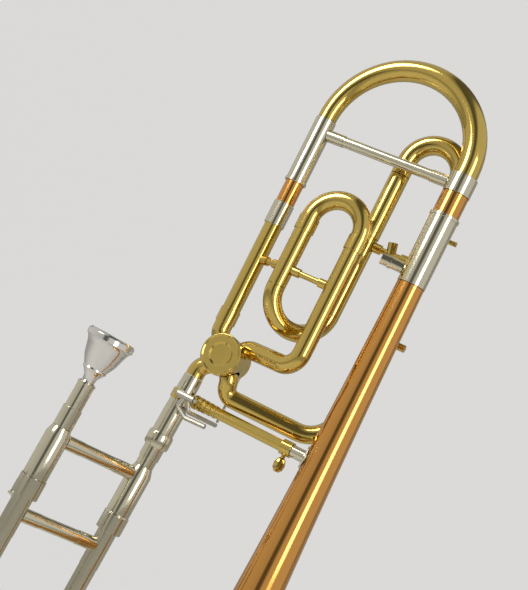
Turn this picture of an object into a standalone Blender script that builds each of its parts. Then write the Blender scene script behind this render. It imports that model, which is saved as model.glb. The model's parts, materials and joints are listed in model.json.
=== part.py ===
"""Tenor trombone with a valve loop, as separate pieces. Metres, +Z up.

The origin is the centre of the bell mouth. The bell axis runs up +Z, the hand slide is on
the -X side, and the player's left thumb side faces -Y.
"""

import math

import bmesh
import bpy
from mathutils import Matrix, Vector

MM = 0.001

# Fits and walls
FIT = 0.3 * MM
WALL = 0.7 * MM
SLEEVE_WALL = 0.5 * MM
SIDES = 16
BEND_STEP = math.radians(15)

# Bell
BELL_RADIUS = 108 * MM
BELL_FLARE_LENGTH = 20 * MM
BELL_FLARE_POWER = 0.7
BELL_WALL = 0.8 * MM
BELL_RIM_RADIUS = 2.0 * MM
BELL_LENGTH = 505 * MM
BELL_SIDES = 36
BELL_STATIONS = 14

# Tuning slide
LEG_SPACING = 124.6 * MM
SMALL_TUBE = 7.45 * MM
SMALL_LEG = 7.7 * MM
BELL_LEG = 10.6 * MM
BELL_SLEEVE_TOP = 564.5 * MM
TUNING_DRAW = 18.5 * MM
TUNING_LEG_LENGTH = 59 * MM
TUNING_FERRULE_LENGTH = 15.2 * MM
TUNING_SLEEVE_BOTTOM = 544.8 * MM
TUNING_SLEEVE_LENGTH = 57 * MM
TUNING_BRACE_Z = 590.5 * MM
TUNING_BRACE_RADIUS = 4.35 * MM
BOW_SMALL_END = 7.8 * MM
BOW_LARGE_END = 9.75 * MM
RING_LIP = 0.7 * MM
RING_HEIGHT = 2.4 * MM

# Gooseneck and valve
GOOSENECK_BOTTOM = 424.6 * MM
GOOSENECK_TOP = 515 * MM
GOOSENECK_FERRULE = (506.5 * MM, 525.9 * MM)
OUTLET_FERRULE = (418.5 * MM, 430.5 * MM)
VALVE = Vector((-109 * MM, 0, 394 * MM))
CASING_RADIUS = 16.2 * MM
CASING_WALL = 1.4 * MM
CASING_FRONT = -11.5 * MM
CASING_BACK = 12.5 * MM
ROTOR_RADIUS = CASING_RADIUS - CASING_WALL - FIT
PORT_BORE = 6.2 * MM
CAP_RADIUS = 17 * MM
CAP_DEPTH = 4.6 * MM
SPINDLE_RADIUS = 2.4 * MM
PLATE_THICKNESS = 2.4 * MM
STOP_ARM_REACH = 12.5 * MM
STOP_ARM_PLANE = 19 * MM
PIN_RADIUS = 1.2 * MM

# Neckpipe and the slide's own frame
SLIDE_SPLAY = math.radians(2.75)
SLIDE_TURN = math.radians(59)
SLIDE_ORIGIN = Vector((-130.5 * MM, 0, 305.2 * MM))
NECK_TOP = 63.8 * MM
NECK_TOP_RADIUS = 7.95 * MM
NECK_LOW_RADIUS = 8.95 * MM
NUT_HEIGHT = 12.3 * MM
NUT_RADIUS = 10.45 * MM
BAND_HEIGHT = 8 * MM
BAND_MIDDLE = 45.8 * MM

# Valve loop
LOOP_TUBE = 7.45 * MM
FRONT_Y = -15 * MM
BACK_Y = 20 * MM
FRONT_LEFT_X = -93.2 * MM
FRONT_RIGHT_X = -49 * MM
BACK_LEFT_X = -54.3 * MM
BACK_RIGHT_X = -9.9 * MM
FRONT_FERRULE = (509 * MM, 521 * MM)
LOWER_BOW_Z = 461 * MM
ENTRY_Z = 407.8 * MM
LOWER_RUN_Z = 366.4 * MM
LOOP_SLEEVE = (531 * MM, 586 * MM)
LOOP_LEG = 6.85 * MM
LOOP_SLEEVE_RADIUS = 7.85 * MM
LOOP_BOW_CENTRE_Z = 598.4 * MM

# Braces
BELL_BRACE_Z = 351.5 * MM
BELL_BRACE_RADIUS = 4.55 * MM
SMALL_BRACE_RADIUS = 2.5 * MM
SMALL_BRACE_Z = 477 * MM
STUB_Z = 515 * MM
REAR_ROD_Z = 525 * MM

# Trigger
HINGE_Y = -13 * MM
HINGE_Z = 352 * MM
HINGE_TUBE = 3.15 * MM
TRIGGER_LUG_Z = 344 * MM
LINK_X = -100.2 * MM
LINK_RADIUS = 1.2 * MM

# Hand slide
SLIDE_SPACING = 84 * MM
INNER_TUBE = 6.3 * MM
INNER_WALL = 0.6 * MM
OUTER_TUBE = 7.6 * MM
OUTER_SLEEVE = 7.9 * MM
BARREL_RADIUS = 9.85 * MM
BARREL_BORE = 9.0 * MM
BARREL_TOP = -17.8 * MM
BARREL_BOTTOM = -76.6 * MM
LOCK_RING_TOP = -60.8 * MM
INNER_LENGTH = 684 * MM
OUTER_TOP = -70 * MM
CROOK_Z = -732 * MM
CROOK_FERRULE = 20 * MM
SLEEVE_END = -109 * MM
INNER_BRACE_Z = -20.7 * MM
OUTER_BRACE_Z = -90.7 * MM
HAND_BRACE_RADIUS = 5.45 * MM
RECEIVER_TOP = 20.8 * MM
RECEIVER_RADIUS = 6.9 * MM

# Mouthpiece
RIM_RADIUS = 19.4 * MM
RIM_TOP = 61.1 * MM
CUP_BORE = 12.9 * MM
CUP_DEPTH = 23 * MM
THROAT = 3.1 * MM
SHANK_RADIUS = 5.6 * MM
SHANK_BOTTOM = -8 * MM


def material(name, colour, roughness):
    made = bpy.data.materials.new(name)
    made.use_nodes = True
    shader = made.node_tree.nodes["Principled BSDF"]
    shader.inputs["Base Color"].default_value = (*colour, 1)
    shader.inputs["Metallic"].default_value = 1
    shader.inputs["Roughness"].default_value = roughness
    return made


def clear_scene():
    for old in list(bpy.data.objects):
        bpy.data.objects.remove(old, do_unlink=True)


def frame_at(origin, z_axis, x_hint=(1, 0, 0)):
    """A matrix whose Z runs along z_axis and whose X is as near x_hint as it can be."""
    z = Vector(z_axis).normalized()
    y = z.cross(Vector(x_hint)).normalized()
    x = y.cross(z)
    made = Matrix((x, y, z)).transposed().to_4x4()
    made.translation = origin
    return made


def slide_frame():
    axis = Vector((math.sin(SLIDE_SPLAY), 0, math.cos(SLIDE_SPLAY)))
    across = Vector((-math.cos(SLIDE_TURN), -math.sin(SLIDE_TURN), 0))
    return frame_at(SLIDE_ORIGIN, axis, across)


SLIDE = slide_frame()


def along(side, z):
    """A point on the hand slide: side 0 is the neckpipe tube, side 1 the mouthpiece tube."""
    return SLIDE @ Vector((side * SLIDE_SPACING, 0, z))


def slide_axis_frame(side, z=0.0):
    return SLIDE @ Matrix.Translation((side * SLIDE_SPACING, 0, z))


def finish(name, bm, finish_name, matrix=None):
    bmesh.ops.remove_doubles(bm, verts=bm.verts, dist=1e-7)
    bmesh.ops.recalc_face_normals(bm, faces=bm.faces)
    mesh = bpy.data.meshes.new(name)
    bm.to_mesh(mesh)
    bm.free()
    mesh.shade_smooth()
    mesh.set_sharp_from_angle(angle=math.radians(35))
    mesh.materials.append(FINISHES[finish_name])
    made = bpy.data.objects.new(name, mesh)
    made.matrix_world = matrix or Matrix()
    bpy.context.scene.collection.objects.link(made)
    return made


def turned(name, finish_name, profile, matrix=None, sides=SIDES, closed=True):
    """Spins a profile of (radius, height) points about Z. A closed one leaves a bore."""
    bm = bmesh.new()
    ring = [bm.verts.new((r, 0, z)) for r, z in profile]
    pairs = list(zip(ring, ring[1:]))
    if closed:
        pairs.append((ring[-1], ring[0]))
    edges = [bm.edges.new(pair) for pair in pairs]
    bmesh.ops.spin(
        bm, geom=ring + edges, cent=(0, 0, 0), axis=(0, 0, 1), angle=math.tau, steps=sides,
        use_merge=True,
    )
    return finish(name, bm, finish_name, matrix)


def pipe_profile(outer, inner, low, high):
    return [(outer, high), (outer, low), (inner, low), (inner, high)]


def filleted(points, radii):
    """Centre points of a bent tube: straight runs with an arc of the given radius at each corner."""
    points = [Vector(p) for p in points]
    path = [points[0]]
    for before, corner, after, radius in zip(points, points[1:], points[2:], radii):
        back = (before - corner).normalized()
        ahead = (after - corner).normalized()
        turn = math.pi - back.angle(ahead)
        reach = radius * math.tan(turn / 2)
        centre = corner + (back + ahead).normalized() * radius / math.cos(turn / 2)
        start = corner + back * reach - centre
        axis = start.cross(corner + ahead * reach - centre).normalized()
        steps = max(2, round(turn / BEND_STEP))
        for i in range(steps + 1):
            path.append(centre + Matrix.Rotation(turn * i / steps, 3, axis) @ start)
    path.append(points[-1])
    return path


def u_bend(start, end, up, leg_length):
    """Half circle from start to end, bulging along up, with a short straight leg at each end."""
    middle = (start + end) / 2
    reach = (start - end).length / 2
    side = (start - end).normalized()
    steps = round(math.pi / BEND_STEP)
    turned_points = [
        middle + side * reach * math.cos(math.pi * i / steps)
        + up * reach * math.sin(math.pi * i / steps)
        for i in range(steps + 1)
    ]
    lead = up * max(leg_length, FIT)
    return [start - lead] + turned_points + [end - lead]


def sweep(name, finish_name, path, outer, inner=None, sides=SIDES):
    """Sweeps a round tube along the path. outer and inner take the share of the length, 0 to 1."""
    outer_of = outer if callable(outer) else lambda share: outer
    inner_of = inner if callable(inner) else lambda share: inner
    bm = bmesh.new()
    lengths = [0.0]
    for a, b in zip(path, path[1:]):
        lengths.append(lengths[-1] + (b - a).length)
    tangent = (path[1] - path[0]).normalized()
    side = tangent.orthogonal().normalized()
    walls = [[], []]
    for i, point in enumerate(path):
        ahead = (path[min(i + 1, len(path) - 1)] - point).normalized()
        behind = (point - path[max(i - 1, 0)]).normalized()
        turn = (ahead + behind).normalized()
        side = (side - turn * side.dot(turn)).normalized()
        other = turn.cross(side)
        share = lengths[i] / lengths[-1]
        radii = [outer_of(share)] + ([] if inner is None else [inner_of(share)])
        for wall, radius in zip(walls, radii):
            wall.append([
                bm.verts.new(point + (side * math.cos(a) + other * math.sin(a)) * radius)
                for a in (math.tau * k / sides for k in range(sides))
            ])
    for wall in walls:
        for low, high in zip(wall, wall[1:]):
            for k in range(sides):
                bm.faces.new((low[k], low[k - 1], high[k - 1], high[k]))
    for end in (0, -1):
        if inner is None:
            bm.faces.new(walls[0][end])
            continue
        for k in range(sides):
            bm.faces.new((walls[0][end][k], walls[0][end][k - 1], walls[1][end][k - 1], walls[1][end][k]))
    return finish(name, bm, finish_name)


def combine(piece, tool, operation):
    """Joins or cuts piece with tool by an exact Boolean and drops the tool."""
    step = piece.modifiers.new(operation, "BOOLEAN")
    step.operation = operation
    step.solver = "EXACT"
    step.object = tool
    bpy.context.view_layer.update()
    graph = bpy.context.evaluated_depsgraph_get()
    made = bpy.data.meshes.new_from_object(piece.evaluated_get(graph))
    piece.modifiers.remove(step)
    old = piece.data
    piece.data = made
    made.name = piece.name
    bpy.data.meshes.remove(old)
    bpy.data.objects.remove(tool, do_unlink=True)
    return piece


def rod(name, finish_name, start, end, radius, sides=SIDES):
    """A plain solid rod from start to end."""
    start = Vector(start)
    end = Vector(end)
    hint = (0, 0, 1) if abs((end - start).normalized().z) < 0.9 else (1, 0, 0)
    length = (end - start).length
    outline = [(0, length), (radius, length), (radius, 0), (0, 0)]
    return turned(name, finish_name, outline, frame_at(start, end - start, hint), sides, closed=False)


def saddle_cut(piece, centre, axis, radius):
    """Cuts the piece to sit on a round tube, with the fit gap."""
    axis = Vector(axis).normalized()
    reach = axis * 30 * MM
    sides = 2 * SIDES
    over = (radius + FIT) / math.cos(math.pi / sides)
    return combine(piece, rod("saddle", "brass", Vector(centre) - reach, Vector(centre) + reach, over, sides),
                   "DIFFERENCE")


def foot(name, finish_name, start, end, radius, length):
    """A socket of the given length on a brace's end, wider than the brace."""
    direction = (Vector(end) - Vector(start)).normalized()
    return rod(name, finish_name, Vector(start), Vector(start) + direction * length, radius)


def brace(name, finish_name, start, end, radius, start_tube, end_tube, socket=0.5 * MM, foot_length=8 * MM):
    """A rod between two tubes, with a wider socket at each end, cut to the tubes it sits on."""
    piece = rod(name, finish_name, start, end, radius)
    for near, far in ((start, end), (end, start)):
        combine(piece, foot("foot", finish_name, near, far, radius + socket, foot_length + start_tube[2]), "UNION")
    for centre, axis, tube_radius in (start_tube, end_tube):
        saddle_cut(piece, centre, axis, tube_radius)
    return piece


def bell_radius_at(z):
    return BELL_RADIUS * (BELL_FLARE_LENGTH / (z + BELL_FLARE_LENGTH)) ** BELL_FLARE_POWER


def bell_slope_at(z):
    return -BELL_FLARE_POWER * bell_radius_at(z) / (z + BELL_FLARE_LENGTH)


def bell():
    stations = [BELL_LENGTH * (i / BELL_STATIONS) ** 2.3 for i in range(BELL_STATIONS + 1)]
    outside = [(bell_radius_at(z), z) for z in stations]
    inside = []
    for radius, z in outside:
        slope = bell_slope_at(z)
        scale = BELL_WALL / math.hypot(1, slope)
        inside.append((radius - scale, z + slope * scale))
    inside[0] = (BELL_RADIUS - BELL_RIM_RADIUS, inside[0][1])
    inside[-1] = (inside[-1][0], BELL_LENGTH)
    rim = [
        (BELL_RADIUS + BELL_RIM_RADIUS * math.sin(a) * 0.5, BELL_RIM_RADIUS * (math.cos(a) - 1) * 0.5)
        for a in (math.radians(45), math.radians(90), math.radians(135), math.radians(180))
    ]
    turned("bell_flare", "rose_brass", list(reversed(outside)) + rim + inside, sides=BELL_SIDES)


def ringed(outer, inner, low, high, ring_at_top):
    """A sleeve outline with a raised ring at its open end."""
    lip = outer + RING_LIP
    if ring_at_top:
        return [(lip, high), (lip, high - RING_HEIGHT), (outer, high - RING_HEIGHT), (outer, low),
                (inner, low), (inner, high)]
    return [(outer, high), (outer, low + RING_HEIGHT), (lip, low + RING_HEIGHT), (lip, low),
            (inner, low), (inner, high)]


def ferrule(name, matrix, low, high, low_tube, high_tube, finish_name="nickel"):
    """A ring over the joint of two tubes, bored to each with the fit gap."""
    low_bore = low_tube + FIT
    high_bore = high_tube + FIT
    outer = max(low_bore, high_bore) + SLEEVE_WALL
    middle = (low + high) / 2
    outline = [(outer, high), (outer, low), (low_bore, low), (low_bore, middle)]
    if abs(high_bore - low_bore) > 1e-6:
        outline.append((high_bore, middle))
    outline.append((high_bore, high))
    if abs(high_bore - low_bore) <= 1e-6:
        outline.remove((low_bore, middle))
    return turned(name, finish_name, outline, matrix)


def bell_side():
    leg_bore = BELL_LEG + FIT
    turned("bell_sleeve", "nickel", ringed(leg_bore + SLEEVE_WALL, leg_bore, BELL_LENGTH + FIT, BELL_SLEEVE_TOP, True),
           sides=SIDES)
    leg_top = BELL_SLEEVE_TOP + TUNING_DRAW
    turned("tuning_leg_right", "rose_brass", pipe_profile(BELL_LEG, BELL_LEG - WALL, leg_top - TUNING_LEG_LENGTH, leg_top))
    ferrule_low = leg_top + FIT
    ferrule_high = ferrule_low + TUNING_FERRULE_LENGTH
    turned("tuning_ferrule_right", "nickel",
           pipe_profile(BELL_LEG + 0.5 * MM, BOW_LARGE_END - WALL, ferrule_low, ferrule_high))
    return ferrule_high + FIT


def tuning_slide(bow_right_z):
    x = -LEG_SPACING
    sleeve_top = TUNING_SLEEVE_BOTTOM + TUNING_SLEEVE_LENGTH
    bore = SMALL_LEG + FIT
    turned("tuning_sleeve_left", "nickel",
           ringed(bore + SLEEVE_WALL, bore, TUNING_SLEEVE_BOTTOM, sleeve_top, False), Matrix.Translation((x, 0, 0)))
    centre_z = bow_right_z + 4 * MM
    bend = u_bend(Vector((x, 0, centre_z)), Vector((0, 0, centre_z)), Vector((0, 0, 1)), 0)
    path = [Vector((x, 0, sleeve_top + FIT))] + bend[1:-1] + [Vector((0, 0, bow_right_z))]
    sweep("tuning_bow", "brass", path,
          lambda s: BOW_SMALL_END + (BOW_LARGE_END - BOW_SMALL_END) * s,
          lambda s: BOW_SMALL_END + (BOW_LARGE_END - BOW_SMALL_END) * s - WALL)
    z = TUNING_BRACE_Z
    left = bore + SLEEVE_WALL
    right = BELL_LEG + 0.5 * MM
    brace("tuning_brace", "nickel", (x + 2 * MM, 0, z), (-4 * MM, 0, z), TUNING_BRACE_RADIUS,
          ((x, 0, z), (0, 0, 1), left), ((0, 0, z), (0, 0, 1), right), foot_length=12 * MM)


def gooseneck():
    place = Matrix.Translation((-LEG_SPACING, 0, 0))
    turned("gooseneck", "brass", pipe_profile(SMALL_TUBE, SMALL_TUBE - WALL, GOOSENECK_BOTTOM, GOOSENECK_TOP), place)
    ferrule("gooseneck_ferrule", place, *GOOSENECK_FERRULE, SMALL_TUBE, SMALL_LEG)
    low = GOOSENECK_TOP + 2 * FIT
    middle = sum(GOOSENECK_FERRULE) / 2 + FIT
    top = BELL_SLEEVE_TOP + TUNING_DRAW + 0.4 * MM
    turned("gooseneck_inner_leg", "rose_brass", pipe_profile(SMALL_LEG, SMALL_LEG - WALL, max(low, middle), top), place)
    ferrule("outlet_ferrule", place, *OUTLET_FERRULE, SMALL_TUBE, SMALL_TUBE, "brass")


def port(angle, reach):
    return VALVE + Vector((math.cos(angle), 0, math.sin(angle))) * reach


def valve():
    y_frame = frame_at(VALVE, (0, 1, 0), (1, 0, 0))
    casing = turned("valve_casing", "brass",
                    pipe_profile(CASING_RADIUS, CASING_RADIUS - CASING_WALL, CASING_FRONT, CASING_BACK),
                    y_frame, 2 * SIDES)
    for quarter in range(4):
        angle = math.radians(45 + 90 * quarter)
        hole = rod("hole", "brass", port(angle, 8 * MM), port(angle, 24 * MM), PORT_BORE)
        combine(casing, hole, "DIFFERENCE")
    front = CASING_FRONT - FIT
    cap = [(0, front - CAP_DEPTH + 2.2 * MM), (8.5 * MM, front - CAP_DEPTH + 1.6 * MM),
           (10 * MM, front - CAP_DEPTH + 0.6 * MM), (CAP_RADIUS - 2.4 * MM, front - CAP_DEPTH + 0.6 * MM),
           (CAP_RADIUS - 1.6 * MM, front - CAP_DEPTH), (CAP_RADIUS - 0.6 * MM, front - CAP_DEPTH),
           (CAP_RADIUS, front - CAP_DEPTH + 0.6 * MM), (CAP_RADIUS, front), (0, front)]
    turned("valve_cap", "brass", cap, y_frame, 2 * SIDES, closed=False)
    back = CASING_BACK + FIT
    hole_radius = SPINDLE_RADIUS + FIT
    turned("valve_back_plate", "nickel",
           pipe_profile(CASING_RADIUS - 1.0 * MM, hole_radius, back, back + PLATE_THICKNESS), y_frame, 2 * SIDES)
    rotor_front = CASING_FRONT + 1 * MM
    rotor_back = CASING_BACK - 1 * MM
    spindle_end = STOP_ARM_PLANE - 2.2 * MM
    outline = [(0, spindle_end), (SPINDLE_RADIUS, spindle_end), (SPINDLE_RADIUS, rotor_back),
               (ROTOR_RADIUS, rotor_back), (ROTOR_RADIUS, rotor_front), (0, rotor_front)]
    rotor = turned("valve_rotor", "nickel", outline, y_frame, 2 * SIDES, closed=False)
    for quarter in (2, 0):
        middle = math.radians(180 if quarter == 2 else 0)
        corners = [port(middle - math.radians(45), 24 * MM), port(middle, 4.5 * MM),
                   port(middle + math.radians(45), 24 * MM)]
        passage = sweep("passage", "brass", filleted(corners, [9 * MM]), PORT_BORE - 0.6 * MM, sides=12)
        combine(rotor, passage, "DIFFERENCE")
    stop_arm(y_frame)


def stop_arm(y_frame):
    """Arm on the rotor's spindle whose pin takes the link rod. It rests 45 degrees below level."""
    low = STOP_ARM_PLANE - 2.2 * MM + FIT
    high = low + 2 * MM
    hub = turned("stop_arm", "nickel", [(0, high), (5 * MM, high), (5 * MM, low), (0, low)], y_frame, closed=False)
    direction = Vector((math.cos(math.radians(45)), 0, math.sin(math.radians(45))))
    tip = VALVE + direction * STOP_ARM_REACH
    y_middle = (low + high) / 2
    arm = rod("arm", "nickel", VALVE + Vector((0, y_middle, 0)), tip + Vector((0, y_middle, 0)), 0.95 * MM, 12)
    combine(hub, arm, "UNION")
    knuckle = rod("knuckle", "nickel", tip + Vector((0, low + 0.1 * MM, 0)), tip + Vector((0, high + 0.1 * MM, 0)), 2.2 * MM, 12)
    combine(hub, knuckle, "UNION")


def elbows():
    """The four bent tubes that reach the valve's ports, cut to the casing."""
    seat = (VALVE, (0, 1, 0), CASING_RADIUS)
    x = -LEG_SPACING
    outlet = [port(math.radians(135), 8 * MM), Vector((x, 0, VALVE.z - VALVE.x + x + 2 * (VALVE.x - x))),
              Vector((x, 0, GOOSENECK_BOTTOM - 2 * FIT))]
    saddle_cut(sweep("outlet_elbow", "brass", filleted(outlet, [11 * MM]), SMALL_TUBE), *seat)
    neck_top = along(0, NECK_TOP + FIT)
    corner_up = along(0, NECK_TOP + 9 * MM)
    inlet = [port(math.radians(225), 8 * MM), corner_up, neck_top]
    saddle_cut(sweep("inlet_elbow", "brass", filleted(inlet, [11 * MM]), SMALL_TUBE), *seat)
    entry_corner = Vector((VALVE.x + ENTRY_Z - VALVE.z, 0, ENTRY_Z))
    entry = [port(math.radians(45), 8 * MM), entry_corner, Vector((FRONT_RIGHT_X, FRONT_Y, ENTRY_Z)),
             Vector((FRONT_RIGHT_X, FRONT_Y, sum(FRONT_FERRULE) / 2 - FIT))]
    saddle_cut(sweep("loop_entry_tube", "brass", filleted(entry, [10 * MM, 14 * MM]), LOOP_TUBE), *seat)
    return_corner = Vector((-98 * MM, 5 * MM, LOWER_RUN_Z))
    back = [port(math.radians(303), 8 * MM), port(math.radians(303), 18.5 * MM), return_corner,
            Vector((BACK_RIGHT_X, BACK_Y + 2 * MM, LOWER_RUN_Z)),
            Vector((BACK_RIGHT_X, BACK_Y + 2 * MM, LOOP_SLEEVE[0] - FIT))]
    saddle_cut(sweep("loop_return_tube", "brass", filleted(back, [9 * MM, 9 * MM, 26 * MM]), LOOP_TUBE), *seat)


def valve_loop():
    left = Vector((FRONT_LEFT_X, FRONT_Y, 0))
    right = Vector((FRONT_RIGHT_X, FRONT_Y, 0))
    back_left = Vector((BACK_LEFT_X, BACK_Y, 0))
    back_right = Vector((BACK_RIGHT_X, BACK_Y + 2 * MM, 0))
    up = Vector((0, 0, 1))
    joint = sum(FRONT_FERRULE) / 2 + FIT
    for name, leg in (("front_bow_ferrule_left", left), ("front_bow_ferrule_right", right)):
        ferrule(name, Matrix.Translation(leg), *FRONT_FERRULE, LOOP_TUBE, LOOP_TUBE, "brass")
    bow = u_bend(left + up * FRONT_FERRULE[1], right + up * FRONT_FERRULE[1], up, FRONT_FERRULE[1] - joint)
    sweep("front_bow", "brass", bow, LOOP_TUBE)
    turned("front_left_leg", "brass",
           pipe_profile(LOOP_TUBE, LOOP_TUBE - WALL, LOWER_BOW_Z + 2 * FIT, joint - 2 * FIT), Matrix.Translation(left))
    lower = u_bend(left + up * LOWER_BOW_Z, back_left + up * LOWER_BOW_Z, -up, 0)
    sweep("lower_bow", "brass", lower, LOOP_TUBE)
    turned("back_left_leg", "brass",
           pipe_profile(LOOP_TUBE, LOOP_TUBE - WALL, LOWER_BOW_Z + 2 * FIT, LOOP_SLEEVE[0] - FIT),
           Matrix.Translation(back_left))
    bore = LOOP_LEG + FIT
    outline = pipe_profile(LOOP_SLEEVE_RADIUS, bore, *LOOP_SLEEVE)
    leg = pipe_profile(LOOP_LEG, LOOP_LEG - WALL, LOOP_SLEEVE[0] + 3 * MM, LOOP_SLEEVE[1] + FIT)
    for side, place in (("left", back_left), ("right", back_right)):
        turned(f"loop_sleeve_{side}", "brass", outline, Matrix.Translation(place))
        turned(f"loop_slide_leg_{side}", "nickel", leg, Matrix.Translation(place))
    foot_z = LOOP_SLEEVE[1] + 2 * FIT
    top = u_bend(back_left + up * LOOP_BOW_CENTRE_Z, back_right + up * LOOP_BOW_CENTRE_Z, up,
                 LOOP_BOW_CENTRE_Z - foot_z)
    sweep("loop_slide_bow", "brass", top, LOOP_SLEEVE_RADIUS, LOOP_SLEEVE_RADIUS - WALL)


def small_braces():
    z = SMALL_BRACE_Z
    goose = Vector((-LEG_SPACING, 0, z))
    left = Vector((FRONT_LEFT_X, FRONT_Y, z))
    right = Vector((FRONT_RIGHT_X, FRONT_Y, z))
    up = (0, 0, 1)
    for name, start, end in (("gooseneck_loop_brace", goose, left), ("loop_brace", left, right)):
        way = (end - start).normalized() * 3 * MM
        brace(name, "brass", start + way, end - way, SMALL_BRACE_RADIUS, (start, up, LOOP_TUBE),
              (end, up, LOOP_TUBE), socket=1.2 * MM, foot_length=3 * MM)
    start = Vector((BACK_LEFT_X, BACK_Y, REAR_ROD_Z))
    end = Vector((BACK_RIGHT_X, BACK_Y + 2 * MM, REAR_ROD_Z))
    way = (end - start).normalized() * 3 * MM
    rear = brace("rear_brace", "brass", start + way, end - way, SMALL_BRACE_RADIUS, (start, up, LOOP_TUBE),
                 (end, up, LOOP_TUBE), socket=1.5 * MM, foot_length=3 * MM)
    middle = (start + end) / 2
    boss = rod("boss", "brass", middle, middle + Vector((-2 * MM, -1 * MM, 9 * MM)), 4 * MM, 12)
    combine(rear, boss, "UNION")
    seat = BELL_LEG + FIT + SLEEVE_WALL
    stub = rod("sleeve_stub", "nickel", (-4 * MM, 0, STUB_Z), (-29 * MM, -5 * MM, STUB_Z), 4.45 * MM)
    ring = rod("ring", "nickel", (-21 * MM, -3.4 * MM, STUB_Z), (-22.6 * MM, -3.7 * MM, STUB_Z), 5.2 * MM)
    combine(stub, ring, "UNION")
    saddle_cut(stub, (0, 0, STUB_Z), up, seat)
    for carrier, stud_z, radius in (("loop_sleeve_right", 552 * MM, 2 * MM), ("loop_return_tube", 461 * MM, 3 * MM)):
        stud = rod("stud", "nickel", (BACK_RIGHT_X + LOOP_TUBE - 0.1 * MM, BACK_Y + 2 * MM, stud_z),
                   (12 * MM, BACK_Y + 2 * MM, stud_z), radius, 12)
        combine(bpy.data.objects[carrier], stud, "UNION")


def neck_radius(z):
    share = min(1, (NECK_TOP - z) / (NECK_TOP - 30 * MM))
    return NECK_TOP_RADIUS + (NECK_LOW_RADIUS - NECK_TOP_RADIUS) * share


def neckpipe():
    low = 8.2 * MM
    tenon = 6.0 * MM
    outline = [(neck_radius(NECK_TOP), NECK_TOP), (neck_radius(30 * MM), 30 * MM), (NECK_LOW_RADIUS, low),
               (tenon, low), (tenon, -6 * MM), (tenon - WALL, -6 * MM), (tenon - WALL, NECK_TOP)]
    turned("neckpipe", "nickel", outline, SLIDE)
    bore = NUT_RADIUS - 1.5 * MM
    nut = [(NUT_RADIUS - 0.8 * MM, NUT_HEIGHT), (NUT_RADIUS, NUT_HEIGHT - 1.6 * MM), (NUT_RADIUS, 1.8 * MM),
           (NUT_RADIUS - 0.8 * MM, 0.2 * MM), (bore + 0.5 * MM, 0.2 * MM), (bore + 0.5 * MM, NUT_HEIGHT)]
    turned("bell_lock_nut", "nickel", nut, SLIDE)
    band_bore = neck_radius(BAND_MIDDLE - BAND_HEIGHT / 2) + FIT
    turned("neckpipe_band", "brass",
           pipe_profile(band_bore + 0.8 * MM, band_bore, BAND_MIDDLE - BAND_HEIGHT / 2, BAND_MIDDLE + BAND_HEIGHT / 2),
           SLIDE)
    return band_bore + 0.8 * MM


def bell_brace(band_radius):
    z = BELL_BRACE_Z
    collar = (-35 * MM, -26 * MM)
    left = along(0, BAND_MIDDLE)
    axis = SLIDE.to_3x3() @ Vector((0, 0, 1))
    start = Vector((-124 * MM, 0, z))
    body = rod("bell_brace_tube", "brass", start, (collar[0] - FIT, 0, z), BELL_BRACE_RADIUS)
    for i in range(5):
        x = -117 * MM + i * 4.6 * MM
        wide = BELL_BRACE_RADIUS + (1.3 - 0.2 * i) * MM
        combine(body, rod("ring", "brass", (x, 0, z), (x + 2.6 * MM, 0, z), wide), "UNION")
    saddle_cut(body, left, axis, band_radius)
    block = rod("brace_collar", "brass", (collar[0], 0, z), (collar[1], 0, z), BELL_BRACE_RADIUS + 1.6 * MM)
    screw_hole = rod("hole", "brass", (sum(collar) / 2, 0, z - 12 * MM), (sum(collar) / 2, 0, z + 2 * MM), 2.1 * MM, 12)
    combine(block, screw_hole, "DIFFERENCE")
    socket = rod("brace_socket", "nickel", (collar[1] + FIT, 0, z), (-6 * MM, 0, z), BELL_BRACE_RADIUS + 0.4 * MM)
    fit_to_bell(socket)
    flange = turned("brace_flange", "nickel", [(0, -16 * MM), (9.5 * MM, -16 * MM), (9.5 * MM, 0), (0, 0)],
                    frame_at((0, 0, z), (1, 0, 0), (0, 0, 1)), 8, closed=False)
    shell = bell_cutter("shell", 1.3 * MM)
    combine(flange, shell, "INTERSECT")
    combine(socket, flange, "UNION")
    fit_to_bell(socket)
    screw = [(0, 3 * MM), (1.75 * MM, 3 * MM), (1.75 * MM, -6.6 * MM), (3.4 * MM, -8 * MM), (4.8 * MM, -12 * MM),
             (4.2 * MM, -16 * MM), (2 * MM, -18.5 * MM), (0, -18.5 * MM)]
    turned("brace_thumbscrew", "brass", screw, Matrix.Translation((sum(collar) / 2, 0, z - 1.4 * MM)), 12, closed=False)


def bell_cutter(name, over):
    """A solid of the bell's outer shape near the brace, grown by over."""
    heights = [BELL_BRACE_Z + h * MM for h in (45, 22, 0, -22, -45)]
    grow = over / math.cos(math.pi / BELL_SIDES)
    outline = [(0, heights[0])] + [(bell_radius_at(z) + grow + 0.15 * MM, z) for z in heights] + [(0, heights[-1])]
    return turned(name, "nickel", outline, None, BELL_SIDES, closed=False)


def fit_to_bell(piece):
    return combine(piece, bell_cutter("bell_cutter", FIT), "DIFFERENCE")


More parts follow.
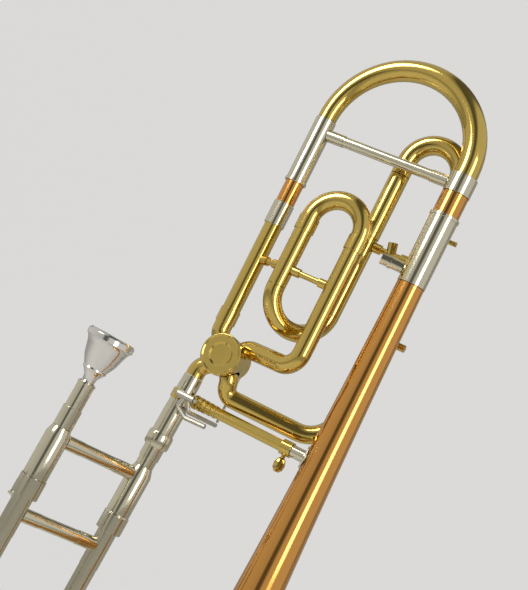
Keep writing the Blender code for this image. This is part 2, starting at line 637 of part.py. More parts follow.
def trigger(band_radius):
    hinge_left = -127.6 * MM
    hinge_right = -112.8 * MM
    axle = rod("trigger_axle", "nickel", (hinge_left - 3 * MM, HINGE_Y, HINGE_Z), (hinge_right + 3 * MM, HINGE_Y, HINGE_Z),
               1.3 * MM, 12)
    for x, seat_y in ((hinge_left - 1.9 * MM, -4 * MM), (hinge_right + 1.9 * MM, -2 * MM)):
        combine(axle, rod("post", "nickel", (x, HINGE_Y - 2 * MM, HINGE_Z), (x, seat_y, HINGE_Z), 1.5 * MM, 12), "UNION")
    axis = SLIDE.to_3x3() @ Vector((0, 0, 1))
    saddle_cut(axle, along(0, BAND_MIDDLE), axis, band_radius)
    saddle_cut(axle, (-100 * MM, 0, BELL_BRACE_Z), (1, 0, 0), BELL_BRACE_RADIUS + 1.3 * MM)
    hub = turned("trigger_lever", "nickel_matte",
                 pipe_profile(HINGE_TUBE, 1.3 * MM + FIT, 0, hinge_right - hinge_left),
                 frame_at((hinge_left, HINGE_Y, HINGE_Z), (1, 0, 0), (0, 0, 1)))
    thumb = [(-121 * MM, HINGE_Y, HINGE_Z - 2.3 * MM), (-123.6 * MM, HINGE_Y, HINGE_Z - 9 * MM),
             (-113 * MM, HINGE_Y - 0.5 * MM, HINGE_Z - 15 * MM), (-94 * MM, HINGE_Y - 1 * MM, HINGE_Z - 14.3 * MM)]
    combine(hub, sweep("thumb", "nickel_matte", filleted(thumb, [3 * MM, 8 * MM]), 2.1 * MM, sides=10), "UNION")
    arm = [(-117 * MM, HINGE_Y, HINGE_Z - 2.3 * MM), (-114 * MM, HINGE_Y + 3 * MM, TRIGGER_LUG_Z - 2.2 * MM),
           (-103 * MM, 8 * MM, TRIGGER_LUG_Z - 2.2 * MM), (LINK_X, STOP_ARM_PLANE + 1.4 * MM, TRIGGER_LUG_Z - 2.2 * MM)]
    combine(hub, sweep("arm", "nickel_matte", filleted(arm, [3 * MM, 8 * MM]), 1.8 * MM, sides=10), "UNION")
    low = TRIGGER_LUG_Z + FIT
    rod("link_rod", "nickel", (LINK_X, STOP_ARM_PLANE + 1.4 * MM, low),
        (LINK_X, STOP_ARM_PLANE + 1.4 * MM, VALVE.z + STOP_ARM_REACH * math.sin(math.radians(45)) - 3 * MM), LINK_RADIUS, 12)


def inner_slide():
    top = 6 * MM
    neck_bore = 6.0 * MM + FIT
    thread = NUT_RADIUS - 1.5 * MM + 0.5 * MM - 0.7 * MM
    outline = [(thread, top), (thread, -FIT), (8.35 * MM, -FIT), (8.35 * MM, -10.6 * MM), (7.55 * MM, -10.6 * MM),
               (7.55 * MM, BARREL_TOP + FIT), (INNER_TUBE + FIT, BARREL_TOP + FIT), (INNER_TUBE + FIT, -9 * MM),
               (neck_bore, -9 * MM), (neck_bore, top)]
    turned("slide_receiver", "nickel", outline, SLIDE)
    outline = [(RECEIVER_RADIUS + 0.5 * MM, RECEIVER_TOP), (RECEIVER_RADIUS + 0.5 * MM, RECEIVER_TOP - 2 * MM),
               (RECEIVER_RADIUS, RECEIVER_TOP - 2 * MM), (RECEIVER_RADIUS, -1.1 * MM), (7.75 * MM, -1.1 * MM),
               (7.75 * MM, BARREL_TOP + FIT), (INNER_TUBE + FIT, BARREL_TOP + FIT), (INNER_TUBE + FIT, -10 * MM),
               (SHANK_RADIUS + FIT, -10 * MM), (SHANK_RADIUS + FIT, RECEIVER_TOP)]
    turned("mouthpiece_receiver", "nickel", outline, slide_axis_frame(1))
    for side, word in enumerate(("right", "left")):
        place = slide_axis_frame(side)
        tube_top = -9.4 * MM if side == 0 else -10.4 * MM
        turned(f"inner_tube_{word}", "nickel",
               pipe_profile(INNER_TUBE, INNER_TUBE - INNER_WALL, -INNER_LENGTH, tube_top), place)
        neck = 7.6 * MM
        outline = [(neck, BARREL_TOP), (neck + 0.6 * MM, BARREL_TOP - 2 * MM), (BARREL_RADIUS, BARREL_TOP - 7 * MM),
                   (BARREL_RADIUS, LOCK_RING_TOP + FIT)]
        if side == 0:
            outline += [(BARREL_RADIUS, LOCK_RING_TOP), (BARREL_RADIUS + 0.8 * MM, LOCK_RING_TOP - 1 * MM),
                        (BARREL_RADIUS + 0.8 * MM, BARREL_BOTTOM)]
        else:
            outline += [(BARREL_BOTTOM_RADIUS, LOCK_RING_TOP + FIT), (BARREL_BOTTOM_RADIUS, BARREL_BOTTOM + 1 * MM)]
        outline += [(BARREL_INSIDE, outline[-1][1]), (BARREL_INSIDE, BARREL_TOP - 9 * MM),
                    (INNER_TUBE + FIT, BARREL_TOP - 7 * MM), (INNER_TUBE + FIT, BARREL_TOP)]
        turned(f"cork_barrel_{word}", "nickel", outline, place)
    centre = [along(side, INNER_BRACE_Z - 6 * MM) for side in (0, 1)]
    axis = SLIDE.to_3x3() @ Vector((0, 0, 1))
    way = (centre[1] - centre[0]).normalized() * 3 * MM
    brace("inner_brace", "nickel", centre[0] + way, centre[1] - way, HAND_BRACE_RADIUS, (centre[0], axis, BARREL_RADIUS),
          (centre[1], axis, BARREL_RADIUS), socket=0.3 * MM, foot_length=12 * MM)


BARREL_INSIDE = OUTER_SLEEVE + FIT
BARREL_BOTTOM_RADIUS = BARREL_INSIDE + 0.6 * MM


def lock_ring():
    bore = BARREL_BOTTOM_RADIUS + FIT
    outer = bore + 1.5 * MM
    outline = pipe_profile(outer, bore, BARREL_BOTTOM, LOCK_RING_TOP)
    ring = turned("slide_lock_ring", "nickel", outline, slide_axis_frame(1))
    route = [(outer - 0.5 * MM, 0, LOCK_RING_TOP - 6 * MM), (outer + 3.4 * MM, 0, LOCK_RING_TOP - 8 * MM),
             (outer + 3.4 * MM, 0, BARREL_BOTTOM - 5 * MM), (outer - 1 * MM, 0, BARREL_BOTTOM - 6 * MM)]
    turn = slide_axis_frame(1) @ Matrix.Rotation(HOOK_ANGLE, 4, "Z")
    combine(ring, sweep("hook", "nickel", filleted([turn @ Vector(p) for p in route], [1.5 * MM, 1.5 * MM]),
                        0.9 * MM, sides=8), "UNION")


HOOK_ANGLE = math.radians(-75)


def outer_slide():
    axis = SLIDE.to_3x3() @ Vector((0, 0, 1))
    for side, word in enumerate(("right", "left")):
        place = slide_axis_frame(side)
        bore = INNER_TUBE + FIT
        ferrule_radius = OUTER_TUBE + SLEEVE_WALL
        ferrule_top = CROOK_Z + CROOK_FERRULE
        outline = [(OUTER_SLEEVE, OUTER_TOP), (OUTER_SLEEVE, SLEEVE_END), (OUTER_TUBE, SLEEVE_END),
                   (OUTER_TUBE, ferrule_top), (ferrule_radius, ferrule_top), (ferrule_radius, CROOK_Z),
                   (bore, CROOK_Z), (bore, OUTER_TOP)]
        tube = turned(f"outer_tube_{word}", "nickel", outline, place)
        if side == 1:
            stud = place @ Matrix.Rotation(HOOK_ANGLE + math.radians(20), 4, "Z")
            stud_z = BARREL_BOTTOM - 4 * MM
            pin = rod("lock_stud", "brass", stud @ Vector((OUTER_SLEEVE - 0.5 * MM, 0, stud_z)),
                      stud @ Vector((OUTER_SLEEVE + 5 * MM, 0, stud_z)), 1.2 * MM, 12)
            combine(tube, pin, "UNION")
    centre = [along(side, OUTER_BRACE_Z) for side in (0, 1)]
    way = (centre[1] - centre[0]).normalized() * 3 * MM
    brace("outer_brace", "nickel", centre[0] + way, centre[1] - way, HAND_BRACE_RADIUS, (centre[0], axis, OUTER_SLEEVE),
          (centre[1], axis, OUTER_SLEEVE), socket=0.3 * MM, foot_length=12 * MM)
    down = SLIDE.to_3x3() @ Vector((0, 0, -1))
    low = CROOK_Z - 2 * FIT
    crook = sweep("end_crook", "brass", u_bend(along(0, low), along(1, low), down, 0), OUTER_TUBE, OUTER_TUBE - WALL)
    hole = rod("hole", "brass", along(0.5, CROOK_Z - SLIDE_SPACING / 2 - 3 * MM),
               along(0.5, CROOK_Z - SLIDE_SPACING / 2 - 12 * MM), 1.6 * MM, 12)
    combine(crook, hole, "DIFFERENCE")


def water_key():
    """Sprung lever on the crook whose cork closes the drain hole at the lowest point."""
    bottom = CROOK_Z - 2 * FIT - SLIDE_SPACING / 2 - OUTER_TUBE
    place = slide_axis_frame(0.5)
    cork_top = bottom - FIT
    lever = turned("water_key", "nickel", [(0, cork_top), (3 * MM, cork_top), (3.4 * MM, cork_top - 3 * MM), (0, cork_top - 3 * MM)],
                   place, 12, closed=False)
    route = [Vector((0, 0, cork_top - 2.2 * MM)), Vector((0, 11 * MM, cork_top - 2.2 * MM)),
             Vector((0, 14 * MM, cork_top + 9 * MM))]
    arm = sweep("arm", "nickel", filleted([place @ p for p in route], [4 * MM]), 1.5 * MM, sides=10)
    combine(lever, arm, "UNION")


def mouthpiece():
    place = slide_axis_frame(1)
    rim_bottom = RIM_TOP - 7.9 * MM
    outline = [(RIM_RADIUS - 1.6 * MM, RIM_TOP), (RIM_RADIUS, RIM_TOP - 1.6 * MM), (RIM_RADIUS, RIM_TOP - 5.6 * MM),
               (RIM_RADIUS - 1.2 * MM, RIM_TOP - 6.4 * MM), (RIM_RADIUS - 2.2 * MM, rim_bottom),
               (16.0 * MM, rim_bottom - 3 * MM), (13.2 * MM, rim_bottom - 13 * MM), (9.6 * MM, rim_bottom - 20 * MM),
               (9.9 * MM, rim_bottom - 21.4 * MM), (8.6 * MM, rim_bottom - 22.6 * MM), (5.6 * MM, rim_bottom - 27 * MM),
               (5.0 * MM, rim_bottom - 31 * MM), (6.6 * MM, RECEIVER_TOP + 0.4 * MM), (SHANK_RADIUS, RECEIVER_TOP + 0.3 * MM),
               (SHANK_RADIUS - 0.4 * MM, SHANK_BOTTOM), (4.2 * MM, SHANK_BOTTOM), (THROAT, RIM_TOP - CUP_DEPTH - 6 * MM),
               (THROAT, RIM_TOP - CUP_DEPTH), (7.5 * MM, RIM_TOP - CUP_DEPTH + 4 * MM), (11.4 * MM, RIM_TOP - 10 * MM),
               (CUP_BORE - 0.2 * MM, RIM_TOP - 3 * MM), (CUP_BORE + 0.6 * MM, RIM_TOP - 0.8 * MM),
               (CUP_BORE + 2 * MM, RIM_TOP)]
    turned("mouthpiece", "silver", outline, place, 24)


FINISHES = {}


def main():
    clear_scene()
    for name, colour, roughness in (("brass", (0.72, 0.58, 0.14), 0.12), ("rose_brass", (0.72, 0.40, 0.10), 0.12),
                                    ("nickel", (0.72, 0.68, 0.56), 0.12), ("nickel_matte", (0.60, 0.57, 0.48), 0.35),
                                    ("silver", (0.82, 0.80, 0.76), 0.08)):
        FINISHES[name] = material(name, colour, roughness)
    bell()
    tuning_slide(bell_side())
    gooseneck()
    valve()
    elbows()
    valve_loop()
    small_braces()
    band_radius = neckpipe()
    bell_brace(band_radius)
    trigger(band_radius)
    inner_slide()
    lock_ring()
    outer_slide()
    water_key()
    mouthpiece()


main()
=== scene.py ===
"""Looks of the tenor trombone: finishes, fine pieces, studio and camera around the fixed frame."""

import json
import math

import bmesh
import bpy
from mathutils import Matrix, Vector

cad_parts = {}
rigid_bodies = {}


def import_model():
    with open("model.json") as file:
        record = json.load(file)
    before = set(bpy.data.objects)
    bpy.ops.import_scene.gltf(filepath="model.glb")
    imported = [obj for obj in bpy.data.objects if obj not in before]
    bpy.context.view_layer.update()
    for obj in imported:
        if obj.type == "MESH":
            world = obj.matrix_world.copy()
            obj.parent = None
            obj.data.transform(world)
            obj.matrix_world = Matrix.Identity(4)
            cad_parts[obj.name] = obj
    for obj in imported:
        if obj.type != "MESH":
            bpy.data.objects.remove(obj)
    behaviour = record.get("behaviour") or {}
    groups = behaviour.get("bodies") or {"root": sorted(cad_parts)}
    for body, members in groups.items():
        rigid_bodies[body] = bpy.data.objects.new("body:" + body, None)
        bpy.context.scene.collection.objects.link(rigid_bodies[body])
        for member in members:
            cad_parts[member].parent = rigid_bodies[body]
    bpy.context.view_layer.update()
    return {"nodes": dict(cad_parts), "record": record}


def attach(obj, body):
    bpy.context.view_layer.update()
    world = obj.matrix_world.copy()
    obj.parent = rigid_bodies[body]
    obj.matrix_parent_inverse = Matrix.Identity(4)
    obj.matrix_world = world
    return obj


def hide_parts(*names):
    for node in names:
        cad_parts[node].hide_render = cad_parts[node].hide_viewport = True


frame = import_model()

bl_info = {
    "name": "Tenor trombone looks",
    "version": (1, 0, 0),
    "blender": (4, 5, 0),
    "location": "View3D > Sidebar > Trombone",
    "description": "Finishes, fine pieces, studio and camera of a tenor trombone",
    "category": "Object",
}

MM = 0.001

SLOT_OF = {part["node"]: part["material_slot"] for part in frame["record"]["subparts"]}
BODY_OF = {node: body for body, nodes in frame["record"]["behaviour"]["bodies"].items() for node in nodes}

# Finish of each material slot
FINISH_OF = {
    "nickel_silver": "nickel",
    "rose_brass": "rose_brass",
    "matte_nickel": "nickel_matte",
    "silver_plate": "silver",
    "yellow_brass": "brass",
}

# Fits and walls
FIT = 0.3 * MM
WALL = 0.7 * MM
SLEEVE_WALL = 0.5 * MM
SIDES = 48
BEND_STEP = math.radians(5)

# Bell
BELL_RADIUS = 108 * MM
BELL_FLARE_LENGTH = 20 * MM
BELL_FLARE_POWER = 0.7
BELL_WALL = 0.8 * MM
BELL_RIM_RADIUS = 2.0 * MM
BELL_LENGTH = 505 * MM
BELL_SIDES = 128
BELL_STATIONS = 60

# Tuning slide
LEG_SPACING = 124.6 * MM
SMALL_TUBE = 7.45 * MM
SMALL_LEG = 7.7 * MM
BELL_LEG = 10.6 * MM
BELL_SLEEVE_TOP = 564.5 * MM
TUNING_DRAW = 18.5 * MM
TUNING_LEG_LENGTH = 59 * MM
TUNING_FERRULE_LENGTH = 15.2 * MM
TUNING_SLEEVE_BOTTOM = 544.8 * MM
TUNING_SLEEVE_LENGTH = 57 * MM
TUNING_BRACE_Z = 590.5 * MM
TUNING_BRACE_RADIUS = 4.35 * MM
BOW_SMALL_END = 7.8 * MM
BOW_LARGE_END = 9.75 * MM
RING_LIP = 0.7 * MM
RING_HEIGHT = 2.4 * MM

# Gooseneck and valve
GOOSENECK_BOTTOM = 424.6 * MM
GOOSENECK_TOP = 515 * MM
GOOSENECK_FERRULE = (506.5 * MM, 525.9 * MM)
OUTLET_FERRULE = (418.5 * MM, 430.5 * MM)
VALVE = Vector((-109 * MM, 0, 394 * MM))
CASING_RADIUS = 16.2 * MM
CASING_WALL = 1.4 * MM
CASING_FRONT = -11.5 * MM
CASING_BACK = 12.5 * MM
ROTOR_RADIUS = CASING_RADIUS - CASING_WALL - FIT
PORT_BORE = 6.2 * MM
CAP_RADIUS = 17 * MM
CAP_DEPTH = 4.6 * MM
SPINDLE_RADIUS = 2.4 * MM
PLATE_THICKNESS = 2.4 * MM
STOP_ARM_REACH = 12.5 * MM
STOP_ARM_PLANE = 19 * MM
STOP_ARM_GAP = 2.2 * MM
STOP_ARM_ANGLE = math.radians(45)
PORT_START = 8 * MM
PORT_END = 24 * MM
ELBOW_BEND = 11 * MM

# Neckpipe and the slide's own frame
SLIDE_SPLAY = math.radians(2.75)
SLIDE_TURN = math.radians(59)
SLIDE_ORIGIN = Vector((-130.5 * MM, 0, 305.2 * MM))
NECK_TOP = 63.8 * MM
NECK_TOP_RADIUS = 7.95 * MM
NECK_LOW_RADIUS = 8.95 * MM
NUT_HEIGHT = 12.3 * MM
NUT_RADIUS = 10.45 * MM
BAND_HEIGHT = 8 * MM
BAND_MIDDLE = 45.8 * MM

# Valve loop
LOOP_TUBE = 7.45 * MM
FRONT_Y = -15 * MM
BACK_Y = 20 * MM
FRONT_LEFT_X = -93.2 * MM
FRONT_RIGHT_X = -49 * MM
BACK_LEFT_X = -54.3 * MM
BACK_RIGHT_X = -9.9 * MM
FRONT_FERRULE = (509 * MM, 521 * MM)
LOWER_BOW_Z = 461 * MM
ENTRY_Z = 407.8 * MM
LOWER_RUN_Z = 366.4 * MM
RETURN_ANGLE = math.radians(303)
RETURN_Y = BACK_Y + 2 * MM
RETURN_CORNER = Vector((-98 * MM, 5 * MM, LOWER_RUN_Z))
RETURN_BENDS = (9 * MM, 9 * MM, 26 * MM)
ENTRY_BENDS = (10 * MM, 14 * MM)
LOOP_SLEEVE = (531 * MM, 586 * MM)
LOOP_LEG = 6.85 * MM
LOOP_SLEEVE_RADIUS = 7.85 * MM
LOOP_BOW_CENTRE_Z = 598.4 * MM

# Braces
BELL_BRACE_Z = 351.5 * MM
BELL_BRACE_RADIUS = 4.55 * MM
SMALL_BRACE_RADIUS = 2.5 * MM
SMALL_BRACE_Z = 477 * MM
STUB_Z = 515 * MM
REAR_ROD_Z = 525 * MM
BRACE_INSET = 3 * MM
COLLAR = (-35 * MM, -26 * MM)

# Trigger
HINGE_Y = -13 * MM
HINGE_Z = 352 * MM
HINGE_LEFT = -127.6 * MM
HINGE_RIGHT = -112.8 * MM
HINGE_TUBE = 3.15 * MM
AXLE_RADIUS = 1.3 * MM
TRIGGER_LUG_Z = 344 * MM
LINK_X = -100.2 * MM
LINK_RADIUS = 1.2 * MM
LINK_Y = STOP_ARM_PLANE + 1.4 * MM

# Hand slide
SLIDE_SPACING = 84 * MM
INNER_TUBE = 6.3 * MM
INNER_WALL = 0.6 * MM
OUTER_TUBE = 7.6 * MM
OUTER_SLEEVE = 7.9 * MM
BARREL_RADIUS = 9.85 * MM
BARREL_TOP = -17.8 * MM
BARREL_BOTTOM = -76.6 * MM
LOCK_RING_TOP = -60.8 * MM
INNER_LENGTH = 684 * MM
OUTER_TOP = -70 * MM
CROOK_Z = -732 * MM
CROOK_FERRULE = 20 * MM
SLEEVE_END = -109 * MM
INNER_BRACE_Z = -20.7 * MM
OUTER_BRACE_Z = -90.7 * MM
HAND_BRACE_RADIUS = 5.45 * MM
BARREL_INSIDE = OUTER_SLEEVE + FIT
BARREL_BOTTOM_RADIUS = BARREL_INSIDE + 0.6 * MM
HOOK_ANGLE = math.radians(-75)
RECEIVER_TOP = 20.8 * MM
RECEIVER_RADIUS = 6.9 * MM

# Mouthpiece
RIM_RADIUS = 19.4 * MM
RIM_TOP = 61.1 * MM
CUP_BORE = 12.9 * MM
CUP_DEPTH = 23 * MM
THROAT = 3.1 * MM
SHANK_RADIUS = 5.6 * MM
SHANK_BOTTOM = -8 * MM

# Fine pieces: their name's start, their edges, and what the operators keep for each other
FINE = "fine_"
SOFT_EDGE = 0.15 * MM
SOFT_EDGE_ANGLE = math.radians(38)
SHARP_ANGLE = math.radians(28)
CAP_SHARP_ANGLE = math.radians(8)
DRESSED = set()
FINISHES = {}

# Camera as worked out from the photo
CAMERA_PLACE = Vector((264.8 * MM, -899.2 * MM, 358.0 * MM))
CAMERA_AZIMUTH = math.radians(22.71)
CAMERA_ELEVATION = math.radians(-2.44)
CAMERA_ROLL = math.radians(26.66)
FOCAL_PIXELS = 1225.4
IMAGE_WIDTH = 528
IMAGE_HEIGHT = 590
AXIS_PIXEL = (227.56, 350.64)
SENSOR_WIDTH = 36.0


class FinishSettings(bpy.types.PropertyGroup):
    """Colours and gloss of the metals."""

    yellow_brass: bpy.props.FloatVectorProperty(
        name="Yellow brass", description="Colour of the lacquered brass tubes", subtype="COLOR",
        default=(0.70, 0.50, 0.12), min=0, max=1,
    )
    rose_brass: bpy.props.FloatVectorProperty(
        name="Rose brass", description="Colour of the bell and the inner legs", subtype="COLOR",
        default=(0.76, 0.36, 0.08), min=0, max=1,
    )
    nickel_silver: bpy.props.FloatVectorProperty(
        name="Nickel silver", description="Colour of the sleeves and the hand slide", subtype="COLOR",
        default=(0.72, 0.67, 0.50), min=0, max=1,
    )
    satin_nickel: bpy.props.FloatVectorProperty(
        name="Satin nickel", description="Colour of the trigger lever", subtype="COLOR",
        default=(0.58, 0.55, 0.46), min=0, max=1,
    )
    silver_plate: bpy.props.FloatVectorProperty(
        name="Silver plate", description="Colour of the mouthpiece", subtype="COLOR",
        default=(0.84, 0.81, 0.76), min=0, max=1,
    )
    gloss_roughness: bpy.props.FloatProperty(
        name="Gloss roughness", description="Roughness of the polished metal", default=0.09, min=0, max=1,
    )
    satin_roughness: bpy.props.FloatProperty(
        name="Satin roughness", description="Roughness of the brushed metal", default=0.34, min=0, max=1,
    )


class StudioSettings(bpy.types.PropertyGroup):
    """Backdrop and lamps."""

    backdrop: bpy.props.FloatVectorProperty(
        name="Backdrop", description="Colour of the floor and the wall", subtype="COLOR",
        default=(0.745, 0.738, 0.723), min=0, max=1,
    )
    key_power: bpy.props.FloatProperty(
        name="Key power", description="Power of the large lamp on the left", default=34, min=0, unit="POWER",
    )
    fill_power: bpy.props.FloatProperty(
        name="Fill power", description="Power of the lamp on the right", default=14, min=0, unit="POWER",
    )
    floor_height: bpy.props.FloatProperty(
        name="Floor height", description="Height of the floor under the bell mouth",
        default=-0.62, unit="LENGTH",
    )


def tarnish_group():
    """Slow changes of tone and gloss over a metal, with fine polishing marks."""
    if "metal_tone" in bpy.data.node_groups:
        return bpy.data.node_groups["metal_tone"]
    group = bpy.data.node_groups.new("metal_tone", "ShaderNodeTree")
    for name, kind, default in (("Tone", "NodeSocketColor", None), ("Shade", "NodeSocketColor", None),
                                ("Scale", "NodeSocketFloat", 40.0), ("Roughness", "NodeSocketFloat", 0.1),
                                ("Spread", "NodeSocketFloat", 0.05)):
        made = group.interface.new_socket(name=name, in_out="INPUT", socket_type=kind)
        if default is not None:
            made.default_value = default
    group.interface.new_socket(name="Colour", in_out="OUTPUT", socket_type="NodeSocketColor")
    group.interface.new_socket(name="Gloss", in_out="OUTPUT", socket_type="NodeSocketFloat")
    group.interface.new_socket(name="Height", in_out="OUTPUT", socket_type="NodeSocketFloat")
    nodes = group.nodes
    links = group.links
    start = nodes.new("NodeGroupInput")
    end = nodes.new("NodeGroupOutput")
    place = nodes.new("ShaderNodeTexCoord")
    slow = nodes.new("ShaderNodeTexNoise")
    slow.inputs["Detail"].default_value = 3
    links.new(place.outputs["Object"], slow.inputs["Vector"])
    links.new(start.outputs["Scale"], slow.inputs["Scale"])
    mix = nodes.new("ShaderNodeMix")
    mix.data_type = "RGBA"
    links.new(slow.outputs["Fac"], mix.inputs["Factor"])
    links.new(start.outputs["Tone"], mix.inputs["A"])
    links.new(start.outputs["Shade"], mix.inputs["B"])
    links.new(mix.outputs["Result"], end.inputs["Colour"])
    fine = nodes.new("ShaderNodeTexNoise")
    fine.inputs["Scale"].default_value = 900
    fine.inputs["Detail"].default_value = 2
    links.new(place.outputs["Object"], fine.inputs["Vector"])
    spread = nodes.new("ShaderNodeMath")
    spread.operation = "MULTIPLY_ADD"
    links.new(slow.outputs["Fac"], spread.inputs[0])
    links.new(start.outputs["Spread"], spread.inputs[1])
    links.new(start.outputs["Roughness"], spread.inputs[2])
    links.new(spread.outputs["Value"], end.inputs["Gloss"])
    links.new(fine.outputs["Fac"], end.inputs["Height"])
    return group


def metal(name, colour, roughness, bump=0.02, coat=0.0, shade=0.88, scale=40.0):
    """A polished or satin metal with uneven tone, uneven gloss and fine marks."""
    made = bpy.data.materials.new(name)
    made.use_nodes = True
    nodes = made.node_tree.nodes
    links = made.node_tree.links
    shader = nodes["Principled BSDF"]
    shader.inputs["Metallic"].default_value = 1
    shader.inputs["Coat Weight"].default_value = coat
    shader.inputs["Coat Roughness"].default_value = 0.04
    tone = nodes.new("ShaderNodeGroup")
    tone.node_tree = tarnish_group()
    tone.inputs["Tone"].default_value = (*colour, 1)
    tone.inputs["Shade"].default_value = (*(c * shade for c in colour), 1)
    tone.inputs["Scale"].default_value = scale
    tone.inputs["Roughness"].default_value = roughness
    tone.inputs["Spread"].default_value = roughness * 0.5
    links.new(tone.outputs["Colour"], shader.inputs["Base Color"])
    links.new(tone.outputs["Gloss"], shader.inputs["Roughness"])
    marks = nodes.new("ShaderNodeBump")
    marks.inputs["Strength"].default_value = bump
    marks.inputs["Distance"].default_value = 0.0002
    links.new(tone.outputs["Height"], marks.inputs["Height"])
    links.new(marks.outputs["Normal"], shader.inputs["Normal"])
    return made


class TROMBONE_OT_finishes(bpy.types.Operator):
    """Give every piece of the frame its metal"""

    bl_idname = "trombone.finishes"
    bl_label = "Metal finishes"

    def execute(self, context):
        values = context.scene.trombone_finish
        gloss = values.gloss_roughness
        satin = values.satin_roughness
        FINISHES.update(
            brass=metal("yellow_brass", values.yellow_brass, gloss, coat=0.3),
            rose_brass=metal("rose_brass", values.rose_brass, gloss, coat=0.3, scale=14.0),
            nickel=metal("nickel_silver", values.nickel_silver, gloss),
            nickel_matte=metal("satin_nickel", values.satin_nickel, satin, bump=0.08),
            silver=metal("silver_plate", values.silver_plate, gloss * 0.7),
        )
        for name, piece in frame["nodes"].items():
            piece.data.materials.clear()
            piece.data.materials.append(FINISHES[FINISH_OF[SLOT_OF[name]]])
        return {"FINISHED"}


def frame_at(origin, z_axis, x_hint=(1, 0, 0)):
    """A matrix whose Z runs along z_axis and whose X is as near x_hint as it can be."""
    z = Vector(z_axis).normalized()
    y = z.cross(Vector(x_hint)).normalized()
    x = y.cross(z)
    made = Matrix((x, y, z)).transposed().to_4x4()
    made.translation = origin
    return made


def slide_frame():
    axis = Vector((math.sin(SLIDE_SPLAY), 0, math.cos(SLIDE_SPLAY)))
    across = Vector((-math.cos(SLIDE_TURN), -math.sin(SLIDE_TURN), 0))
    return frame_at(SLIDE_ORIGIN, axis, across)


UP = Vector((0, 0, 1))
SLIDE = slide_frame()
SLIDE_AXIS = SLIDE.to_3x3() @ UP


def along(side, z):
    """A point on the hand slide: side 0 is the neckpipe tube, side 1 the mouthpiece tube."""
    return SLIDE @ Vector((side * SLIDE_SPACING, 0, z))


def slide_axis_frame(side, z=0.0):
    return SLIDE @ Matrix.Translation((side * SLIDE_SPACING, 0, z))


def finish(name, bm, finish_name, matrix=None):
    bmesh.ops.remove_doubles(bm, verts=bm.verts, dist=1e-7)
    bmesh.ops.recalc_face_normals(bm, faces=bm.faces)
    name = FINE + name
    mesh = bpy.data.meshes.new(name)
    bm.to_mesh(mesh)
    bm.free()
    mesh.materials.append(FINISHES[finish_name])
    made = bpy.data.objects.new(name, mesh)
    made.matrix_world = matrix or Matrix()
    bpy.context.scene.collection.objects.link(made)
    return made


def dress():
    """Softens the edges of the fine pieces made since the last call and puts them in place of their nodes."""
    for piece in list(bpy.context.scene.collection.all_objects):
        if not piece.name.startswith(FINE) or piece.name in DRESSED:
            continue
        node = piece.name[len(FINE):]
        mesh = piece.data
        mesh.transform(piece.matrix_world)
        piece.matrix_world = Matrix()
        mesh.shade_smooth()
        if "custom_normal" in mesh.attributes:
            mesh.attributes.remove(mesh.attributes["custom_normal"])
        mesh.set_sharp_from_angle(angle=CAP_SHARP_ANGLE if node == "valve_cap" else SHARP_ANGLE)
        soften = piece.modifiers.new("soft_edges", "BEVEL")
        soften.width = SOFT_EDGE
        soften.segments = 2
        soften.limit_method = "ANGLE"
        soften.angle_limit = SOFT_EDGE_ANGLE
        soften.harden_normals = False
        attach(piece, BODY_OF[node])
        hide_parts(node)
        DRESSED.add(piece.name)


def turned(name, finish_name, profile, matrix=None, sides=SIDES, closed=True):
    """Spins a profile of (radius, height) points about Z. A closed one leaves a bore."""
    bm = bmesh.new()
    ring = [bm.verts.new((r, 0, z)) for r, z in profile]
    pairs = list(zip(ring, ring[1:]))
    if closed:
        pairs.append((ring[-1], ring[0]))
    edges = [bm.edges.new(pair) for pair in pairs]
    bmesh.ops.spin(
        bm, geom=ring + edges, cent=(0, 0, 0), axis=(0, 0, 1), angle=math.tau, steps=sides, use_merge=True,
    )
    return finish(name, bm, finish_name, matrix)


def pipe_profile(outer, inner, low, high):
    return [(outer, high), (outer, low), (inner, low), (inner, high)]


def pipe(name, finish, outer, low, high, place=None):
    """A straight tube with the usual wall."""
    return turned(name, finish, pipe_profile(outer, outer - WALL, low, high), place)


def in_mm(*points):
    """The points of an outline, given in millimetres."""
    return [(radius * MM, height * MM) for radius, height in points]


def filleted(points, radii):
    """Centre points of a bent tube: straight runs with an arc of the given radius at each corner."""
    points = [Vector(p) for p in points]
    path = [points[0]]
    for before, corner, after, radius in zip(points, points[1:], points[2:], radii):
        back = (before - corner).normalized()
        ahead = (after - corner).normalized()
        turn = math.pi - back.angle(ahead)
        reach = radius * math.tan(turn / 2)
        centre = corner + (back + ahead).normalized() * radius / math.cos(turn / 2)
        start = corner + back * reach - centre
        axis = start.cross(corner + ahead * reach - centre).normalized()
        steps = max(2, round(turn / BEND_STEP))
        for i in range(steps + 1):
            path.append(centre + Matrix.Rotation(turn * i / steps, 3, axis) @ start)
    path.append(points[-1])
    return path


def u_bend(start, end, up, leg_length):
    """Half circle from start to end, bulging along up, with a short straight leg at each end."""
    middle = (start + end) / 2
    reach = (start - end).length / 2
    side = (start - end).normalized()
    steps = round(math.pi / BEND_STEP)
    turned_points = [
        middle + side * reach * math.cos(math.pi * i / steps)
        + up * reach * math.sin(math.pi * i / steps)
        for i in range(steps + 1)
    ]
    lead = up * max(leg_length, FIT)
    return [start - lead] + turned_points + [end - lead]


